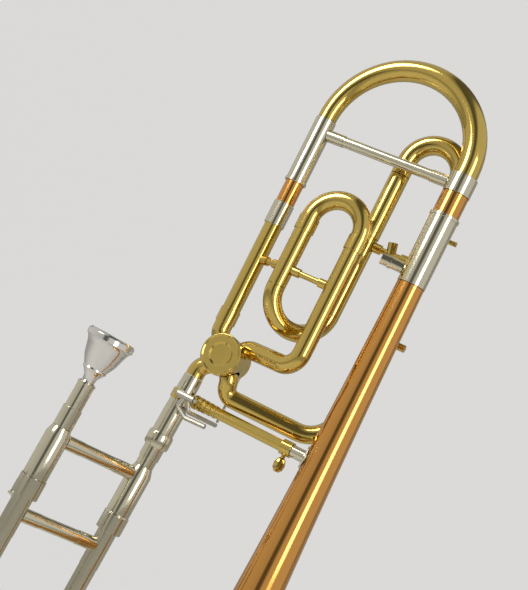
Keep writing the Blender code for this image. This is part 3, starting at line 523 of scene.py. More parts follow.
def sweep(name, finish_name, path, outer, inner=None, sides=SIDES):
    """Sweeps a round tube along the path. outer and inner take the share of the length, 0 to 1."""
    outer_of = outer if callable(outer) else lambda share: outer
    inner_of = inner if callable(inner) else lambda share: inner
    bm = bmesh.new()
    lengths = [0.0]
    for a, b in zip(path, path[1:]):
        lengths.append(lengths[-1] + (b - a).length)
    tangent = (path[1] - path[0]).normalized()
    side = tangent.orthogonal().normalized()
    walls = [[], []]
    for i, point in enumerate(path):
        ahead = (path[min(i + 1, len(path) - 1)] - point).normalized()
        behind = (point - path[max(i - 1, 0)]).normalized()
        turn = (ahead + behind).normalized()
        side = (side - turn * side.dot(turn)).normalized()
        other = turn.cross(side)
        share = lengths[i] / lengths[-1]
        radii = [outer_of(share)] + ([] if inner is None else [inner_of(share)])
        for wall, radius in zip(walls, radii):
            wall.append([
                bm.verts.new(point + (side * math.cos(a) + other * math.sin(a)) * radius)
                for a in (math.tau * k / sides for k in range(sides))
            ])
    for wall in walls:
        for low, high in zip(wall, wall[1:]):
            for k in range(sides):
                bm.faces.new((low[k], low[k - 1], high[k - 1], high[k]))
    for end in (0, -1):
        if inner is None:
            bm.faces.new(walls[0][end])
            continue
        for k in range(sides):
            bm.faces.new((walls[0][end][k], walls[0][end][k - 1], walls[1][end][k - 1], walls[1][end][k]))
    return finish(name, bm, finish_name)


def combine(piece, tool, operation):
    """Joins or cuts piece with tool by an exact Boolean and drops the tool."""
    step = piece.modifiers.new(operation, "BOOLEAN")
    step.operation = operation
    step.solver = "EXACT"
    step.object = tool
    bpy.context.view_layer.update()
    graph = bpy.context.evaluated_depsgraph_get()
    made = bpy.data.meshes.new_from_object(piece.evaluated_get(graph))
    piece.modifiers.remove(step)
    old = piece.data
    piece.data = made
    made.name = piece.name
    bpy.data.meshes.remove(old)
    bpy.data.objects.remove(tool, do_unlink=True)
    return piece


def rod(name, finish_name, start, end, radius, sides=SIDES):
    """A plain solid rod from start to end."""
    start = Vector(start)
    end = Vector(end)
    hint = (0, 0, 1) if abs((end - start).normalized().z) < 0.9 else (1, 0, 0)
    length = (end - start).length
    outline = [(0, length), (radius, length), (radius, 0), (0, 0)]
    return turned(name, finish_name, outline, frame_at(start, end - start, hint), sides, closed=False)


def saddle_cut(piece, centre, axis, radius):
    """Cuts the piece to sit on a round tube, with the fit gap."""
    axis = Vector(axis).normalized()
    reach = axis * 30 * MM
    sides = 2 * SIDES
    over = (radius + FIT) / math.cos(math.pi / sides)
    saddle = rod("saddle", "brass", Vector(centre) - reach, Vector(centre) + reach, over, sides)
    return combine(piece, saddle, "DIFFERENCE")


def brace(name, finish_name, start, end, radius, start_tube, end_tube, socket=0.5 * MM, foot_length=8 * MM):
    """A rod between two tubes, with a wider socket at each end, cut to the tubes it sits on."""
    start = Vector(start)
    end = Vector(end)
    piece = rod(name, finish_name, start, end, radius)
    reach = foot_length + start_tube[2]
    for near, far in ((start, end), (end, start)):
        foot = rod("foot", finish_name, near, near + (far - near).normalized() * reach, radius + socket)
        combine(piece, foot, "UNION")
    for centre, axis, tube_radius in (start_tube, end_tube):
        saddle_cut(piece, centre, axis, tube_radius)
    return piece


def tube_brace(name, finish_name, start, end, radius, axis, tube_radius, socket, foot_length):
    """A brace between the middles of two like tubes."""
    way = (end - start).normalized() * BRACE_INSET
    return brace(name, finish_name, start + way, end - way, radius, (start, axis, tube_radius),
                 (end, axis, tube_radius), socket, foot_length)


def bell_radius_at(z):
    return BELL_RADIUS * (BELL_FLARE_LENGTH / (z + BELL_FLARE_LENGTH)) ** BELL_FLARE_POWER


def bell_slope_at(z):
    return -BELL_FLARE_POWER * bell_radius_at(z) / (z + BELL_FLARE_LENGTH)


def bell():
    stations = [BELL_LENGTH * (i / BELL_STATIONS) ** 2.3 for i in range(BELL_STATIONS + 1)]
    outside = [(bell_radius_at(z), z) for z in stations]
    inside = []
    for radius, z in outside:
        slope = bell_slope_at(z)
        scale = BELL_WALL / math.hypot(1, slope)
        inside.append((radius - scale, z + slope * scale))
    inside[0] = (BELL_RADIUS - BELL_RIM_RADIUS, inside[0][1])
    inside[-1] = (inside[-1][0], BELL_LENGTH)
    rim = [
        (BELL_RADIUS + BELL_RIM_RADIUS * math.sin(a) * 0.5, BELL_RIM_RADIUS * (math.cos(a) - 1) * 0.5)
        for a in (math.radians(45), math.radians(90), math.radians(135), math.radians(180))
    ]
    turned("bell_flare", "rose_brass", list(reversed(outside)) + rim + inside, sides=BELL_SIDES)


def ringed(outer, inner, low, high, ring_at_top):
    """A sleeve outline with a raised ring at its open end."""
    lip = outer + RING_LIP
    if ring_at_top:
        return [(lip, high), (lip, high - RING_HEIGHT), (outer, high - RING_HEIGHT), (outer, low),
                (inner, low), (inner, high)]
    return [(outer, high), (outer, low + RING_HEIGHT), (lip, low + RING_HEIGHT), (lip, low),
            (inner, low), (inner, high)]


def ferrule(name, matrix, low, high, low_tube, high_tube, finish_name="nickel"):
    """A ring over the joint of two tubes, bored to each with the fit gap."""
    low_bore = low_tube + FIT
    high_bore = high_tube + FIT
    outer = max(low_bore, high_bore) + SLEEVE_WALL
    middle = (low + high) / 2
    step = [(low_bore, middle), (high_bore, middle)] if high_bore != low_bore else []
    outline = [(outer, high), (outer, low), (low_bore, low), *step, (high_bore, high)]
    return turned(name, finish_name, outline, matrix)


def bell_side():
    leg_bore = BELL_LEG + FIT
    turned("bell_sleeve", "nickel",
           ringed(leg_bore + SLEEVE_WALL, leg_bore, BELL_LENGTH + FIT, BELL_SLEEVE_TOP, True))
    leg_top = BELL_SLEEVE_TOP + TUNING_DRAW
    pipe("tuning_leg_right", "rose_brass", BELL_LEG, leg_top - TUNING_LEG_LENGTH, leg_top)
    ferrule_low = leg_top + FIT
    ferrule_high = ferrule_low + TUNING_FERRULE_LENGTH
    turned("tuning_ferrule_right", "nickel",
           pipe_profile(BELL_LEG + 0.5 * MM, BOW_LARGE_END - WALL, ferrule_low, ferrule_high))
    return ferrule_high + FIT


def bow_radius_at(share):
    return BOW_SMALL_END + (BOW_LARGE_END - BOW_SMALL_END) * share


def tuning_slide(bow_right_z):
    x = -LEG_SPACING
    sleeve_top = TUNING_SLEEVE_BOTTOM + TUNING_SLEEVE_LENGTH
    bore = SMALL_LEG + FIT
    turned("tuning_sleeve_left", "nickel",
           ringed(bore + SLEEVE_WALL, bore, TUNING_SLEEVE_BOTTOM, sleeve_top, False),
           Matrix.Translation((x, 0, 0)))
    centre_z = bow_right_z + 4 * MM
    bend = u_bend(Vector((x, 0, centre_z)), Vector((0, 0, centre_z)), UP, 0)
    path = [Vector((x, 0, sleeve_top + FIT))] + bend[1:-1] + [Vector((0, 0, bow_right_z))]
    sweep("tuning_bow", "brass", path, bow_radius_at, lambda share: bow_radius_at(share) - WALL)
    z = TUNING_BRACE_Z
    left = bore + SLEEVE_WALL
    right = BELL_LEG + 0.5 * MM
    brace("tuning_brace", "nickel", (x + 2 * MM, 0, z), (-4 * MM, 0, z), TUNING_BRACE_RADIUS,
          ((x, 0, z), UP, left), ((0, 0, z), UP, right), foot_length=12 * MM)


def gooseneck():
    place = Matrix.Translation((-LEG_SPACING, 0, 0))
    pipe("gooseneck", "brass", SMALL_TUBE, GOOSENECK_BOTTOM, GOOSENECK_TOP, place)
    ferrule("gooseneck_ferrule", place, *GOOSENECK_FERRULE, SMALL_TUBE, SMALL_LEG)
    low = GOOSENECK_TOP + 2 * FIT
    middle = sum(GOOSENECK_FERRULE) / 2 + FIT
    top = BELL_SLEEVE_TOP + TUNING_DRAW + 0.4 * MM
    pipe("gooseneck_inner_leg", "rose_brass", SMALL_LEG, max(low, middle), top, place)
    ferrule("outlet_ferrule", place, *OUTLET_FERRULE, SMALL_TUBE, SMALL_TUBE, "brass")


def port(angle, reach):
    return VALVE + Vector((math.cos(angle), 0, math.sin(angle))) * reach


def valve():
    y_frame = frame_at(VALVE, (0, 1, 0), (1, 0, 0))
    casing = turned("valve_casing", "brass",
                    pipe_profile(CASING_RADIUS, CASING_RADIUS - CASING_WALL, CASING_FRONT, CASING_BACK),
                    y_frame, 2 * SIDES)
    for quarter in range(4):
        angle = math.radians(45 + 90 * quarter)
        hole = rod("hole", "brass", port(angle, PORT_START), port(angle, PORT_END), PORT_BORE)
        combine(casing, hole, "DIFFERENCE")
    front = CASING_FRONT - FIT
    face = front - CAP_DEPTH
    cap = [(0, face + 2.2 * MM), (8.5 * MM, face + 1.6 * MM), (10 * MM, face + 0.6 * MM),
           (CAP_RADIUS - 2.4 * MM, face + 0.6 * MM), (CAP_RADIUS - 1.6 * MM, face),
           (CAP_RADIUS - 0.6 * MM, face), (CAP_RADIUS, face + 0.6 * MM), (CAP_RADIUS, front), (0, front)]
    turned("valve_cap", "brass", cap, y_frame, 2 * SIDES, closed=False)
    back = CASING_BACK + FIT
    hole_radius = SPINDLE_RADIUS + FIT
    plate = pipe_profile(CASING_RADIUS - 1.0 * MM, hole_radius, back, back + PLATE_THICKNESS)
    turned("valve_back_plate", "nickel", plate, y_frame, 2 * SIDES)
    rotor_front = CASING_FRONT + 1 * MM
    rotor_back = CASING_BACK - 1 * MM
    spindle_end = STOP_ARM_PLANE - STOP_ARM_GAP
    outline = [(0, spindle_end), (SPINDLE_RADIUS, spindle_end), (SPINDLE_RADIUS, rotor_back),
               (ROTOR_RADIUS, rotor_back), (ROTOR_RADIUS, rotor_front), (0, rotor_front)]
    rotor = turned("valve_rotor", "nickel", outline, y_frame, 2 * SIDES, closed=False)
    for middle in (math.pi, 0.0):
        corners = [port(middle - math.radians(45), PORT_END), port(middle, 4.5 * MM),
                   port(middle + math.radians(45), PORT_END)]
        passage = sweep("passage", "brass", filleted(corners, [9 * MM]), PORT_BORE - 0.6 * MM, sides=12)
        combine(rotor, passage, "DIFFERENCE")
    stop_arm(y_frame)


def stop_arm(y_frame):
    """Arm on the rotor's spindle whose pin takes the link rod. It rests 45 degrees above level."""
    low = STOP_ARM_PLANE - STOP_ARM_GAP + FIT
    high = low + 2 * MM
    hub_radius = 5 * MM
    disc = [(0, high), (hub_radius, high), (hub_radius, low), (0, low)]
    hub = turned("stop_arm", "nickel", disc, y_frame, closed=False)
    tip = port(STOP_ARM_ANGLE, STOP_ARM_REACH)
    middle = Vector((0, (low + high) / 2, 0))
    combine(hub, rod("arm", "nickel", VALVE + middle, tip + middle, 0.95 * MM, 12), "UNION")
    knuckle = rod("knuckle", "nickel", tip + Vector((0, low + 0.1 * MM, 0)),
                  tip + Vector((0, high + 0.1 * MM, 0)), 2.2 * MM, 12)
    combine(hub, knuckle, "UNION")


def elbow(name, points, radii, tube):
    """A bent tube through the points, cut to the valve's casing."""
    bent = sweep(name, "brass", filleted(points, radii), tube)
    return saddle_cut(bent, VALVE, (0, 1, 0), CASING_RADIUS)


def elbows():
    """The four bent tubes that reach the valve's ports."""
    x = -LEG_SPACING
    outlet_corner = Vector((x, 0, VALVE.z - VALVE.x + x + 2 * (VALVE.x - x)))
    outlet = [port(math.radians(135), PORT_START), outlet_corner, Vector((x, 0, GOOSENECK_BOTTOM - 2 * FIT))]
    elbow("outlet_elbow", outlet, [ELBOW_BEND], SMALL_TUBE)
    inlet = [port(math.radians(225), PORT_START), along(0, NECK_TOP + 9 * MM), along(0, NECK_TOP + FIT)]
    elbow("inlet_elbow", inlet, [ELBOW_BEND], SMALL_TUBE)
    entry_corner = Vector((VALVE.x + ENTRY_Z - VALVE.z, 0, ENTRY_Z))
    entry = [port(math.radians(45), PORT_START), entry_corner, Vector((FRONT_RIGHT_X, FRONT_Y, ENTRY_Z)),
             Vector((FRONT_RIGHT_X, FRONT_Y, sum(FRONT_FERRULE) / 2 - FIT))]
    elbow("loop_entry_tube", entry, ENTRY_BENDS, LOOP_TUBE)
    back = [port(RETURN_ANGLE, PORT_START), port(RETURN_ANGLE, 18.5 * MM), RETURN_CORNER,
            Vector((BACK_RIGHT_X, RETURN_Y, LOWER_RUN_Z)),
            Vector((BACK_RIGHT_X, RETURN_Y, LOOP_SLEEVE[0] - FIT))]
    elbow("loop_return_tube", back, RETURN_BENDS, LOOP_TUBE)


def valve_loop():
    left = Vector((FRONT_LEFT_X, FRONT_Y, 0))
    right = Vector((FRONT_RIGHT_X, FRONT_Y, 0))
    back_left = Vector((BACK_LEFT_X, BACK_Y, 0))
    back_right = Vector((BACK_RIGHT_X, RETURN_Y, 0))
    joint = sum(FRONT_FERRULE) / 2 + FIT
    for name, leg in (("front_bow_ferrule_left", left), ("front_bow_ferrule_right", right)):
        ferrule(name, Matrix.Translation(leg), *FRONT_FERRULE, LOOP_TUBE, LOOP_TUBE, "brass")
    bow_start = UP * FRONT_FERRULE[1]
    bow = u_bend(left + bow_start, right + bow_start, UP, FRONT_FERRULE[1] - joint)
    sweep("front_bow", "brass", bow, LOOP_TUBE)
    leg_low = LOWER_BOW_Z + 2 * FIT
    pipe("front_left_leg", "brass", LOOP_TUBE, leg_low, joint - 2 * FIT, Matrix.Translation(left))
    lower = u_bend(left + UP * LOWER_BOW_Z, back_left + UP * LOWER_BOW_Z, -UP, 0)
    sweep("lower_bow", "brass", lower, LOOP_TUBE)
    pipe("back_left_leg", "brass", LOOP_TUBE, leg_low, LOOP_SLEEVE[0] - FIT, Matrix.Translation(back_left))
    bore = LOOP_LEG + FIT
    outline = pipe_profile(LOOP_SLEEVE_RADIUS, bore, *LOOP_SLEEVE)
    leg = pipe_profile(LOOP_LEG, LOOP_LEG - WALL, LOOP_SLEEVE[0] + 3 * MM, LOOP_SLEEVE[1] + FIT)
    for side, place in (("left", back_left), ("right", back_right)):
        turned(f"loop_sleeve_{side}", "brass", outline, Matrix.Translation(place))
        turned(f"loop_slide_leg_{side}", "nickel", leg, Matrix.Translation(place))
    foot_z = LOOP_SLEEVE[1] + 2 * FIT
    top = u_bend(back_left + UP * LOOP_BOW_CENTRE_Z, back_right + UP * LOOP_BOW_CENTRE_Z, UP,
                 LOOP_BOW_CENTRE_Z - foot_z)
    sweep("loop_slide_bow", "brass", top, LOOP_SLEEVE_RADIUS, LOOP_SLEEVE_RADIUS - WALL)


def small_braces():
    z = SMALL_BRACE_Z
    goose = Vector((-LEG_SPACING, 0, z))
    left = Vector((FRONT_LEFT_X, FRONT_Y, z))
    right = Vector((FRONT_RIGHT_X, FRONT_Y, z))
    for name, start, end in (("gooseneck_loop_brace", goose, left), ("loop_brace", left, right)):
        tube_brace(name, "brass", start, end, SMALL_BRACE_RADIUS, UP, LOOP_TUBE, 1.2 * MM, 3 * MM)
    start = Vector((BACK_LEFT_X, BACK_Y, REAR_ROD_Z))
    end = Vector((BACK_RIGHT_X, RETURN_Y, REAR_ROD_Z))
    rear = tube_brace("rear_brace", "brass", start, end, SMALL_BRACE_RADIUS, UP, LOOP_TUBE, 1.5 * MM, 3 * MM)
    middle = (start + end) / 2
    boss = rod("boss", "brass", middle, middle + Vector((-2 * MM, -1 * MM, 9 * MM)), 4 * MM, 12)
    combine(rear, boss, "UNION")
    seat = BELL_LEG + FIT + SLEEVE_WALL
    stub = rod("sleeve_stub", "nickel", (-4 * MM, 0, STUB_Z), (-29 * MM, -5 * MM, STUB_Z), 4.45 * MM)
    ring = rod("ring", "nickel", (-21 * MM, -3.4 * MM, STUB_Z), (-22.6 * MM, -3.7 * MM, STUB_Z), 5.2 * MM)
    combine(stub, ring, "UNION")
    saddle_cut(stub, (0, 0, STUB_Z), UP, seat)
    for carrier, stud_z, radius in (("loop_sleeve_right", 552 * MM, 2 * MM),
                                    ("loop_return_tube", 461 * MM, 3 * MM)):
        stud = rod("stud", "nickel", (BACK_RIGHT_X + LOOP_TUBE - 0.1 * MM, RETURN_Y, stud_z),
                   (12 * MM, RETURN_Y, stud_z), radius, 12)
        combine(bpy.data.objects[FINE + carrier], stud, "UNION")


def neck_radius(z):
    share = min(1, (NECK_TOP - z) / (NECK_TOP - 30 * MM))
    return NECK_TOP_RADIUS + (NECK_LOW_RADIUS - NECK_TOP_RADIUS) * share


def neckpipe():
    low = 8.2 * MM
    tenon = 6.0 * MM
    outline = [(neck_radius(NECK_TOP), NECK_TOP), (neck_radius(30 * MM), 30 * MM), (NECK_LOW_RADIUS, low),
               (tenon, low), (tenon, -6 * MM), (tenon - WALL, -6 * MM), (tenon - WALL, NECK_TOP)]
    turned("neckpipe", "nickel", outline, SLIDE)
    bore = NUT_RADIUS - 1.5 * MM
    nut = [(NUT_RADIUS - 0.8 * MM, NUT_HEIGHT), (NUT_RADIUS, NUT_HEIGHT - 1.6 * MM), (NUT_RADIUS, 1.8 * MM),
           (NUT_RADIUS - 0.8 * MM, 0.2 * MM), (bore + 0.5 * MM, 0.2 * MM), (bore + 0.5 * MM, NUT_HEIGHT)]
    turned("bell_lock_nut", "nickel", nut, SLIDE)
    band_bore = neck_radius(BAND_MIDDLE - BAND_HEIGHT / 2) + FIT
    turned("neckpipe_band", "brass",
           pipe_profile(band_bore + 0.8 * MM, band_bore, BAND_MIDDLE - BAND_HEIGHT / 2,
                        BAND_MIDDLE + BAND_HEIGHT / 2), SLIDE)
    return band_bore + 0.8 * MM


def bell_brace():
    """The collar, the socket and the thumbscrew of the bell brace. Its tube stays the plain solid."""
    z = BELL_BRACE_Z
    middle = sum(COLLAR) / 2
    block = rod("brace_collar", "brass", (COLLAR[0], 0, z), (COLLAR[1], 0, z), BELL_BRACE_RADIUS + 1.6 * MM)
    screw_hole = rod("hole", "brass", (middle, 0, z - 12 * MM), (middle, 0, z + 2 * MM), 2.1 * MM, 12)
    combine(block, screw_hole, "DIFFERENCE")
    socket = rod("brace_socket", "nickel", (COLLAR[1] + FIT, 0, z), (-6 * MM, 0, z),
                 BELL_BRACE_RADIUS + 0.4 * MM)
    fit_to_bell(socket)
    flange = turned("brace_flange", "nickel", [(0, -16 * MM), (9.5 * MM, -16 * MM), (9.5 * MM, 0), (0, 0)],
                    frame_at((0, 0, z), (1, 0, 0), (0, 0, 1)), 8, closed=False)
    shell = bell_cutter("shell", 1.3 * MM)
    combine(flange, shell, "INTERSECT")
    combine(socket, flange, "UNION")
    fit_to_bell(socket)
    screw = in_mm((0, 3), (1.75, 3), (1.75, -6.6), (3.4, -8), (4.8, -12), (4.2, -16), (2, -18.5), (0, -18.5))
    place = Matrix.Translation((middle, 0, z - 1.4 * MM))
    turned("brace_thumbscrew", "brass", screw, place, 12, closed=False)


def bell_cutter(name, over):
    """A solid of the bell's outer shape near the brace, grown by over."""
    heights = [BELL_BRACE_Z + h * MM for h in (45, 22, 0, -22, -45)]
    grow = over / math.cos(math.pi / BELL_SIDES)
    wall = [(bell_radius_at(z) + grow + 0.15 * MM, z) for z in heights]
    outline = [(0, heights[0])] + wall + [(0, heights[-1])]
    return turned(name, "nickel", outline, None, BELL_SIDES, closed=False)


def fit_to_bell(piece):
    return combine(piece, bell_cutter("bell_cutter", FIT), "DIFFERENCE")


def trigger(band_radius):
    """The lever on its axle, and the link rod that rises from its lug to the stop arm."""
    axle = rod("trigger_axle", "nickel", (HINGE_LEFT - 3 * MM, HINGE_Y, HINGE_Z),
               (HINGE_RIGHT + 3 * MM, HINGE_Y, HINGE_Z), AXLE_RADIUS, 12)
    for x, seat_y in ((HINGE_LEFT - 1.9 * MM, -4 * MM), (HINGE_RIGHT + 1.9 * MM, -2 * MM)):
        post = rod("post", "nickel", (x, HINGE_Y - 2 * MM, HINGE_Z), (x, seat_y, HINGE_Z), 1.5 * MM, 12)
        combine(axle, post, "UNION")
    saddle_cut(axle, along(0, BAND_MIDDLE), SLIDE_AXIS, band_radius)
    saddle_cut(axle, (-100 * MM, 0, BELL_BRACE_Z), (1, 0, 0), BELL_BRACE_RADIUS + 1.3 * MM)
    hub = turned("trigger_lever", "nickel_matte",
                 pipe_profile(HINGE_TUBE, AXLE_RADIUS + FIT, 0, HINGE_RIGHT - HINGE_LEFT),
                 frame_at((HINGE_LEFT, HINGE_Y, HINGE_Z), (1, 0, 0), (0, 0, 1)))
    thumb = [(-121 * MM, HINGE_Y, HINGE_Z - 2.3 * MM), (-123.6 * MM, HINGE_Y, HINGE_Z - 9 * MM),
             (-113 * MM, HINGE_Y - 0.5 * MM, HINGE_Z - 15 * MM),
             (-94 * MM, HINGE_Y - 1 * MM, HINGE_Z - 14.3 * MM)]
    arm_z = TRIGGER_LUG_Z - 2.2 * MM
    arm = [(-117 * MM, HINGE_Y, HINGE_Z - 2.3 * MM), (-114 * MM, HINGE_Y + 3 * MM, arm_z),
           (-103 * MM, 8 * MM, arm_z), (LINK_X, LINK_Y, arm_z)]
    for name, points, radius in (("thumb", thumb, 2.1 * MM), ("arm", arm, 1.8 * MM)):
        strip = sweep(name, "nickel_matte", filleted(points, [3 * MM, 8 * MM]), radius, sides=10)
        combine(hub, strip, "UNION")
    top = VALVE.z + STOP_ARM_REACH * math.sin(STOP_ARM_ANGLE) - 3 * MM
    rod("link_rod", "nickel", (LINK_X, LINK_Y, TRIGGER_LUG_Z + FIT), (LINK_X, LINK_Y, top), LINK_RADIUS, 12)


def inner_slide():
    top = 6 * MM
    neck_bore = 6.0 * MM + FIT
    thread = NUT_RADIUS - 1.5 * MM + 0.5 * MM - 0.7 * MM
    outline = [(thread, top), (thread, -FIT), (8.35 * MM, -FIT), (8.35 * MM, -10.6 * MM),
               (7.55 * MM, -10.6 * MM), (7.55 * MM, BARREL_TOP + FIT), (INNER_TUBE + FIT, BARREL_TOP + FIT),
               (INNER_TUBE + FIT, -9 * MM), (neck_bore, -9 * MM), (neck_bore, top)]
    turned("slide_receiver", "nickel", outline, SLIDE)
    ring = RECEIVER_RADIUS + 0.5 * MM
    outline = [(ring, RECEIVER_TOP), (ring, RECEIVER_TOP - 2 * MM), (RECEIVER_RADIUS, RECEIVER_TOP - 2 * MM),
               (RECEIVER_RADIUS, -1.1 * MM), (7.75 * MM, -1.1 * MM), (7.75 * MM, BARREL_TOP + FIT),
               (INNER_TUBE + FIT, BARREL_TOP + FIT), (INNER_TUBE + FIT, -10 * MM),
               (SHANK_RADIUS + FIT, -10 * MM), (SHANK_RADIUS + FIT, RECEIVER_TOP)]
    turned("mouthpiece_receiver", "nickel", outline, slide_axis_frame(1))
    for side, word in enumerate(("right", "left")):
        place = slide_axis_frame(side)
        tube_top = -9.4 * MM if side == 0 else -10.4 * MM
        turned(f"inner_tube_{word}", "nickel",
               pipe_profile(INNER_TUBE, INNER_TUBE - INNER_WALL, -INNER_LENGTH, tube_top), place)
        neck = 7.6 * MM
        outline = [(neck, BARREL_TOP), (neck + 0.6 * MM, BARREL_TOP - 2 * MM),
                   (BARREL_RADIUS, BARREL_TOP - 7 * MM), (BARREL_RADIUS, LOCK_RING_TOP + FIT)]
        if side == 0:
            outline += [(BARREL_RADIUS, LOCK_RING_TOP), (BARREL_RADIUS + 0.8 * MM, LOCK_RING_TOP - 1 * MM),
                        (BARREL_RADIUS + 0.8 * MM, BARREL_BOTTOM)]
        else:
            outline += [(BARREL_BOTTOM_RADIUS, LOCK_RING_TOP + FIT),
                        (BARREL_BOTTOM_RADIUS, BARREL_BOTTOM + 1 * MM)]
        outline += [(BARREL_INSIDE, outline[-1][1]), (BARREL_INSIDE, BARREL_TOP - 9 * MM),
                    (INNER_TUBE + FIT, BARREL_TOP - 7 * MM), (INNER_TUBE + FIT, BARREL_TOP)]
        turned(f"cork_barrel_{word}", "nickel", outline, place)
    right, left = (along(side, INNER_BRACE_Z - 6 * MM) for side in (0, 1))
    tube_brace("inner_brace", "nickel", right, left, HAND_BRACE_RADIUS, SLIDE_AXIS, BARREL_RADIUS,
               0.3 * MM, 12 * MM)


def lock_ring():
    bore = BARREL_BOTTOM_RADIUS + FIT
    outer = bore + 1.5 * MM
    outline = pipe_profile(outer, bore, BARREL_BOTTOM, LOCK_RING_TOP)
    ring = turned("slide_lock_ring", "nickel", outline, slide_axis_frame(1))
    route = [(outer - 0.5 * MM, 0, LOCK_RING_TOP - 6 * MM), (outer + 3.4 * MM, 0, LOCK_RING_TOP - 8 * MM),
             (outer + 3.4 * MM, 0, BARREL_BOTTOM - 5 * MM), (outer - 1 * MM, 0, BARREL_BOTTOM - 6 * MM)]
    turn = slide_axis_frame(1) @ Matrix.Rotation(HOOK_ANGLE, 4, "Z")
    path = filleted([turn @ Vector(p) for p in route], [1.5 * MM, 1.5 * MM])
    combine(ring, sweep("hook", "nickel", path, 0.9 * MM, sides=8), "UNION")


def outer_slide():
    for side, word in enumerate(("right", "left")):
        place = slide_axis_frame(side)
        bore = INNER_TUBE + FIT
        ferrule_radius = OUTER_TUBE + SLEEVE_WALL
        ferrule_top = CROOK_Z + CROOK_FERRULE
        outline = [(OUTER_SLEEVE, OUTER_TOP), (OUTER_SLEEVE, SLEEVE_END), (OUTER_TUBE, SLEEVE_END),
                   (OUTER_TUBE, ferrule_top), (ferrule_radius, ferrule_top), (ferrule_radius, CROOK_Z),
                   (bore, CROOK_Z), (bore, OUTER_TOP)]
        tube = turned(f"outer_tube_{word}", "nickel", outline, place)
        if side == 1:
            stud = place @ Matrix.Rotation(HOOK_ANGLE + math.radians(20), 4, "Z")
            stud_z = BARREL_BOTTOM - 4 * MM
            pin = rod("lock_stud", "brass", stud @ Vector((OUTER_SLEEVE - 0.5 * MM, 0, stud_z)),
                      stud @ Vector((OUTER_SLEEVE + 5 * MM, 0, stud_z)), 1.2 * MM, 12)
            combine(tube, pin, "UNION")
    right, left = (along(side, OUTER_BRACE_Z) for side in (0, 1))
    tube_brace("outer_brace", "nickel", right, left, HAND_BRACE_RADIUS, SLIDE_AXIS, OUTER_SLEEVE,
               0.3 * MM, 12 * MM)
    low = CROOK_Z - 2 * FIT
    bend = u_bend(along(0, low), along(1, low), -SLIDE_AXIS, 0)
    crook = sweep("end_crook", "brass", bend, OUTER_TUBE, OUTER_TUBE - WALL)
    hole = rod("hole", "brass", along(0.5, CROOK_Z - SLIDE_SPACING / 2 - 3 * MM),
               along(0.5, CROOK_Z - SLIDE_SPACING / 2 - 12 * MM), 1.6 * MM, 12)
    combine(crook, hole, "DIFFERENCE")


def water_key():
    """Sprung lever on the crook whose cork closes the drain hole at the lowest point."""
    bottom = CROOK_Z - 2 * FIT - SLIDE_SPACING / 2 - OUTER_TUBE
    place = slide_axis_frame(0.5)
    cork_top = bottom - FIT
    cork_bottom = cork_top - 3 * MM
    cork = [(0, cork_top), (3 * MM, cork_top), (3.4 * MM, cork_bottom), (0, cork_bottom)]
    lever = turned("water_key", "nickel", cork, place, 12, closed=False)
    route = [Vector((0, 0, cork_top - 2.2 * MM)), Vector((0, 11 * MM, cork_top - 2.2 * MM)),
             Vector((0, 14 * MM, cork_top + 9 * MM))]
    arm = sweep("arm", "nickel", filleted([place @ p for p in route], [4 * MM]), 1.5 * MM, sides=10)
    combine(lever, arm, "UNION")


def mouthpiece():
    place = slide_axis_frame(1)
    rim_bottom = RIM_TOP - 7.9 * MM
    rim = [(RIM_RADIUS - 1.6 * MM, RIM_TOP), (RIM_RADIUS, RIM_TOP - 1.6 * MM),
           (RIM_RADIUS, RIM_TOP - 5.6 * MM), (RIM_RADIUS - 1.2 * MM, RIM_TOP - 6.4 * MM),
           (RIM_RADIUS - 2.2 * MM, rim_bottom)]
    below_rim = ((16.0, 3), (13.2, 13), (9.6, 20), (9.9, 21.4), (8.6, 22.6), (5.6, 27), (5.0, 31))
    bowl = [(radius * MM, rim_bottom - depth * MM) for radius, depth in below_rim]
    shank = [(6.6 * MM, RECEIVER_TOP + 0.4 * MM), (SHANK_RADIUS, RECEIVER_TOP + 0.3 * MM),
             (SHANK_RADIUS - 0.4 * MM, SHANK_BOTTOM), (4.2 * MM, SHANK_BOTTOM)]
    inside = [(THROAT, RIM_TOP - CUP_DEPTH - 6 * MM), (THROAT, RIM_TOP - CUP_DEPTH),
              (7.5 * MM, RIM_TOP - CUP_DEPTH + 4 * MM), (11.4 * MM, RIM_TOP - 10 * MM),
              (CUP_BORE - 0.2 * MM, RIM_TOP - 3 * MM), (CUP_BORE + 0.6 * MM, RIM_TOP - 0.8 * MM),
              (CUP_BORE + 2 * MM, RIM_TOP)]
    turned("mouthpiece", "silver", rim + bowl + shank + inside, place, 24)


class TROMBONE_OT_bell(bpy.types.Operator):
    """Make the bell flare"""

    bl_idname = "trombone.bell"
    bl_label = "Bell"

    def execute(self, context):
        bell()
        dress()
        return {"FINISHED"}


class TROMBONE_OT_tuning(bpy.types.Operator):
    """Make the bell sleeve and the tuning slide"""

    bl_idname = "trombone.tuning"
    bl_label = "Tuning slide"

    def execute(self, context):
        tuning_slide(bell_side())
        dress()
        return {"FINISHED"}


class TROMBONE_OT_gooseneck(bpy.types.Operator):
    """Make the gooseneck and its rings"""

    bl_idname = "trombone.gooseneck"
    bl_label = "Gooseneck"

    def execute(self, context):
        gooseneck()
        dress()
        return {"FINISHED"}


class TROMBONE_OT_valve(bpy.types.Operator):
    """Make the valve, its cap and its elbows"""

    bl_idname = "trombone.valve"
    bl_label = "Rotary valve"

    def execute(self, context):
        valve()
        elbows()
        dress()
        return {"FINISHED"}


class TROMBONE_OT_loop(bpy.types.Operator):
    """Make the tubes of the valve loop and the small braces"""

    bl_idname = "trombone.loop"
    bl_label = "Valve loop"

    def execute(self, context):
        valve_loop()
        small_braces()
        dress()
        return {"FINISHED"}


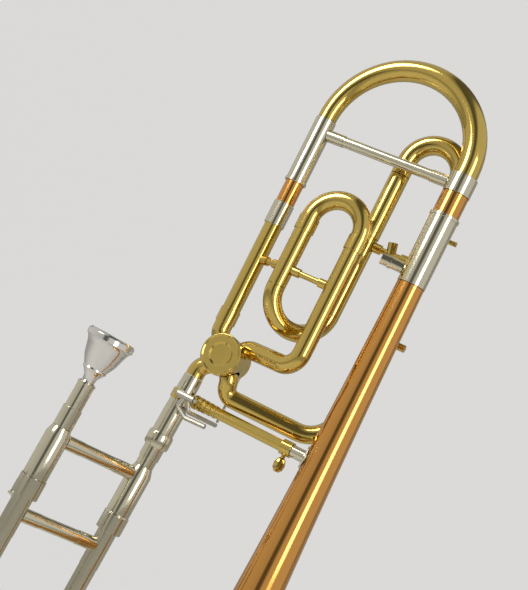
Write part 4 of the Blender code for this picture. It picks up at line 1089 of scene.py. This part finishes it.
class TROMBONE_OT_neck(bpy.types.Operator):
    """Make the neckpipe, the bell brace and the trigger"""

    bl_idname = "trombone.neck"
    bl_label = "Neckpipe and bell brace"

    def execute(self, context):
        band_radius = neckpipe()
        bell_brace()
        trigger(band_radius)
        dress()
        return {"FINISHED"}


class TROMBONE_OT_inner(bpy.types.Operator):
    """Make the inner slide, its barrels and the lock ring"""

    bl_idname = "trombone.inner"
    bl_label = "Inner slide"

    def execute(self, context):
        inner_slide()
        lock_ring()
        dress()
        return {"FINISHED"}


class TROMBONE_OT_outer(bpy.types.Operator):
    """Make the outer slide, its crook and the water key"""

    bl_idname = "trombone.outer"
    bl_label = "Outer slide"

    def execute(self, context):
        outer_slide()
        water_key()
        dress()
        return {"FINISHED"}


class TROMBONE_OT_mouthpiece(bpy.types.Operator):
    """Make the mouthpiece"""

    bl_idname = "trombone.mouthpiece"
    bl_label = "Mouthpiece"

    def execute(self, context):
        mouthpiece()
        dress()
        return {"FINISHED"}


def camera_matrix():
    level = Vector((math.cos(CAMERA_AZIMUTH), math.sin(CAMERA_AZIMUTH), 0))
    flat = math.cos(CAMERA_ELEVATION)
    ahead = Vector((-math.sin(CAMERA_AZIMUTH) * flat, math.cos(CAMERA_AZIMUTH) * flat,
                    -math.sin(CAMERA_ELEVATION)))
    above = level.cross(ahead)
    right = level * math.cos(CAMERA_ROLL) + above * math.sin(CAMERA_ROLL)
    up = above * math.cos(CAMERA_ROLL) - level * math.sin(CAMERA_ROLL)
    made = Matrix((right, up, -ahead)).transposed().to_4x4()
    made.translation = CAMERA_PLACE
    return made


def backdrop_material(colour):
    made = bpy.data.materials.new("backdrop")
    made.use_nodes = True
    nodes = made.node_tree.nodes
    links = made.node_tree.links
    shader = nodes["Principled BSDF"]
    shader.inputs["Base Color"].default_value = (*colour, 1)
    shader.inputs["Roughness"].default_value = 0.9
    glow = nodes.new("ShaderNodeEmission")
    glow.inputs["Color"].default_value = (*colour, 1)
    path = nodes.new("ShaderNodeLightPath")
    mix = nodes.new("ShaderNodeMixShader")
    share = nodes.new("ShaderNodeMath")
    share.operation = "MULTIPLY"
    share.inputs[1].default_value = 0.9
    links.new(path.outputs["Is Camera Ray"], share.inputs[0])
    links.new(share.outputs["Value"], mix.inputs["Fac"])
    links.new(shader.outputs["BSDF"], mix.inputs[1])
    links.new(glow.outputs["Emission"], mix.inputs[2])
    links.new(mix.outputs["Shader"], nodes["Material Output"].inputs["Surface"])
    return made


def backdrop_mesh(floor_height):
    """A floor that rises in one sweep to a wall all round the object's back."""
    bm = bmesh.new()
    reach = 6.0
    rise = 1.5
    steps = 10
    outline = [Vector((0, -reach, floor_height)), Vector((0, reach - rise, floor_height))]
    for i in range(1, steps + 1):
        angle = math.pi / 2 * i / steps
        y = reach - rise * (1 - math.sin(angle))
        z = floor_height + rise * (1 - math.cos(angle))
        outline.append(Vector((0, y, z)))
    outline.append(Vector((0, reach, floor_height + reach)))
    rows = [[bm.verts.new(p + Vector((x, 0, 0))) for p in outline] for x in (-reach * 1.5, reach * 1.5)]
    for k in range(len(outline) - 1):
        bm.faces.new((rows[0][k], rows[1][k], rows[1][k + 1], rows[0][k + 1]))
    mesh = bpy.data.meshes.new("backdrop")
    bm.to_mesh(mesh)
    bm.free()
    mesh.shade_smooth()
    return mesh


def area_lamp(name, place, target, size, power):
    lamp = bpy.data.lights.new(name, "AREA")
    lamp.shape = "RECTANGLE"
    lamp.size = size[0]
    lamp.size_y = size[1]
    lamp.energy = power
    made = bpy.data.objects.new(name, lamp)
    made.location = place
    made.rotation_euler = (Vector(target) - Vector(place)).to_track_quat("-Z", "Y").to_euler()
    bpy.context.scene.collection.objects.link(made)
    return made


def studio_world(colour):
    world = bpy.data.worlds.new("studio")
    bpy.context.scene.world = world
    world.use_nodes = True
    nodes = world.node_tree.nodes
    links = world.node_tree.links
    ground = nodes["Background"]
    place = nodes.new("ShaderNodeTexCoord")
    split = nodes.new("ShaderNodeSeparateXYZ")
    links.new(place.outputs["Generated"], split.inputs["Vector"])
    ramp = nodes.new("ShaderNodeValToRGB")
    ramp.color_ramp.elements[0].position = 0.0
    ramp.color_ramp.elements[0].color = (0.62, 0.61, 0.59, 1)
    ramp.color_ramp.elements[1].position = 1.0
    ramp.color_ramp.elements[1].color = (0.66, 0.66, 0.66, 1)
    for position, level in ((0.40, 0.50), (0.47, 0.10), (0.60, 0.14), (0.68, 0.62)):
        stop = ramp.color_ramp.elements.new(position)
        stop.color = (level, level, level * 0.97, 1)
    half = nodes.new("ShaderNodeMath")
    half.operation = "MULTIPLY_ADD"
    half.inputs[1].default_value = 0.5
    half.inputs[2].default_value = 0.5
    links.new(split.outputs["X"], half.inputs[0])
    links.new(half.outputs["Value"], ramp.inputs["Fac"])
    links.new(ramp.outputs["Color"], ground.inputs["Color"])
    plain = nodes.new("ShaderNodeBackground")
    plain.inputs["Color"].default_value = (*colour, 1)
    path = nodes.new("ShaderNodeLightPath")
    mix = nodes.new("ShaderNodeMixShader")
    links.new(path.outputs["Is Camera Ray"], mix.inputs["Fac"])
    links.new(ground.outputs["Background"], mix.inputs[1])
    links.new(plain.outputs["Background"], mix.inputs[2])
    links.new(mix.outputs["Shader"], nodes["World Output"].inputs["Surface"])


class TROMBONE_OT_stage(bpy.types.Operator):
    """Set up the camera, the backdrop and the lamps"""

    bl_idname = "trombone.stage"
    bl_label = "Studio and camera"

    def execute(self, context):
        values = context.scene.trombone_studio
        context.scene.view_settings.view_transform = "Standard"
        lens = bpy.data.cameras.new("camera")
        lens.sensor_fit = "HORIZONTAL"
        lens.sensor_width = SENSOR_WIDTH
        lens.lens = FOCAL_PIXELS * SENSOR_WIDTH / IMAGE_WIDTH
        lens.shift_x = (IMAGE_WIDTH / 2 - AXIS_PIXEL[0]) / IMAGE_WIDTH
        lens.shift_y = (AXIS_PIXEL[1] - IMAGE_HEIGHT / 2) / IMAGE_WIDTH
        lens.clip_end = 50
        camera = bpy.data.objects.new("camera", lens)
        camera.matrix_world = camera_matrix()
        context.scene.collection.objects.link(camera)
        context.scene.camera = camera
        backdrop = bpy.data.objects.new("backdrop", backdrop_mesh(values.floor_height))
        backdrop.data.materials.append(backdrop_material(values.backdrop))
        context.scene.collection.objects.link(backdrop)
        middle = (-0.08, 0, 0.45)
        area_lamp("key_lamp", (-1.3, -1.5, 1.7), middle, (0.9, 1.6), values.key_power)
        area_lamp("fill_lamp", (1.7, -1.3, 0.9), middle, (0.7, 1.4), values.fill_power)
        studio_world(values.backdrop)
        return {"FINISHED"}


class TROMBONE_PT_panel(bpy.types.Panel):
    """Lists the trombone's operators"""

    bl_idname = "TROMBONE_PT_panel"
    bl_label = "Trombone"
    bl_space_type = "VIEW_3D"
    bl_region_type = "UI"
    bl_category = "Trombone"

    def draw(self, context):
        for operator in OPERATORS:
            self.layout.operator(operator.bl_idname)


OPERATORS = (
    TROMBONE_OT_stage, TROMBONE_OT_finishes,
    TROMBONE_OT_bell, TROMBONE_OT_tuning, TROMBONE_OT_gooseneck, TROMBONE_OT_valve,
    TROMBONE_OT_loop, TROMBONE_OT_neck, TROMBONE_OT_inner, TROMBONE_OT_outer, TROMBONE_OT_mouthpiece,
)
SETTINGS = (("trombone_finish", FinishSettings), ("trombone_studio", StudioSettings))


def register():
    for name, settings in SETTINGS:
        bpy.utils.register_class(settings)
        setattr(bpy.types.Scene, name, bpy.props.PointerProperty(type=settings))
    for made in (*OPERATORS, TROMBONE_PT_panel):
        bpy.utils.register_class(made)


def unregister():
    for made in (*OPERATORS, TROMBONE_PT_panel):
        bpy.utils.unregister_class(made)
    for name, settings in SETTINGS:
        delattr(bpy.types.Scene, name)
        bpy.utils.unregister_class(settings)


def main():
    register()
    bpy.ops.trombone.stage()
    bpy.ops.trombone.finishes()
    bpy.ops.trombone.bell()
    bpy.ops.trombone.tuning()
    bpy.ops.trombone.gooseneck()
    bpy.ops.trombone.valve()
    bpy.ops.trombone.loop()
    bpy.ops.trombone.neck()
    bpy.ops.trombone.inner()
    bpy.ops.trombone.outer()
    bpy.ops.trombone.mouthpiece()


if __name__ == "__main__":
    main()
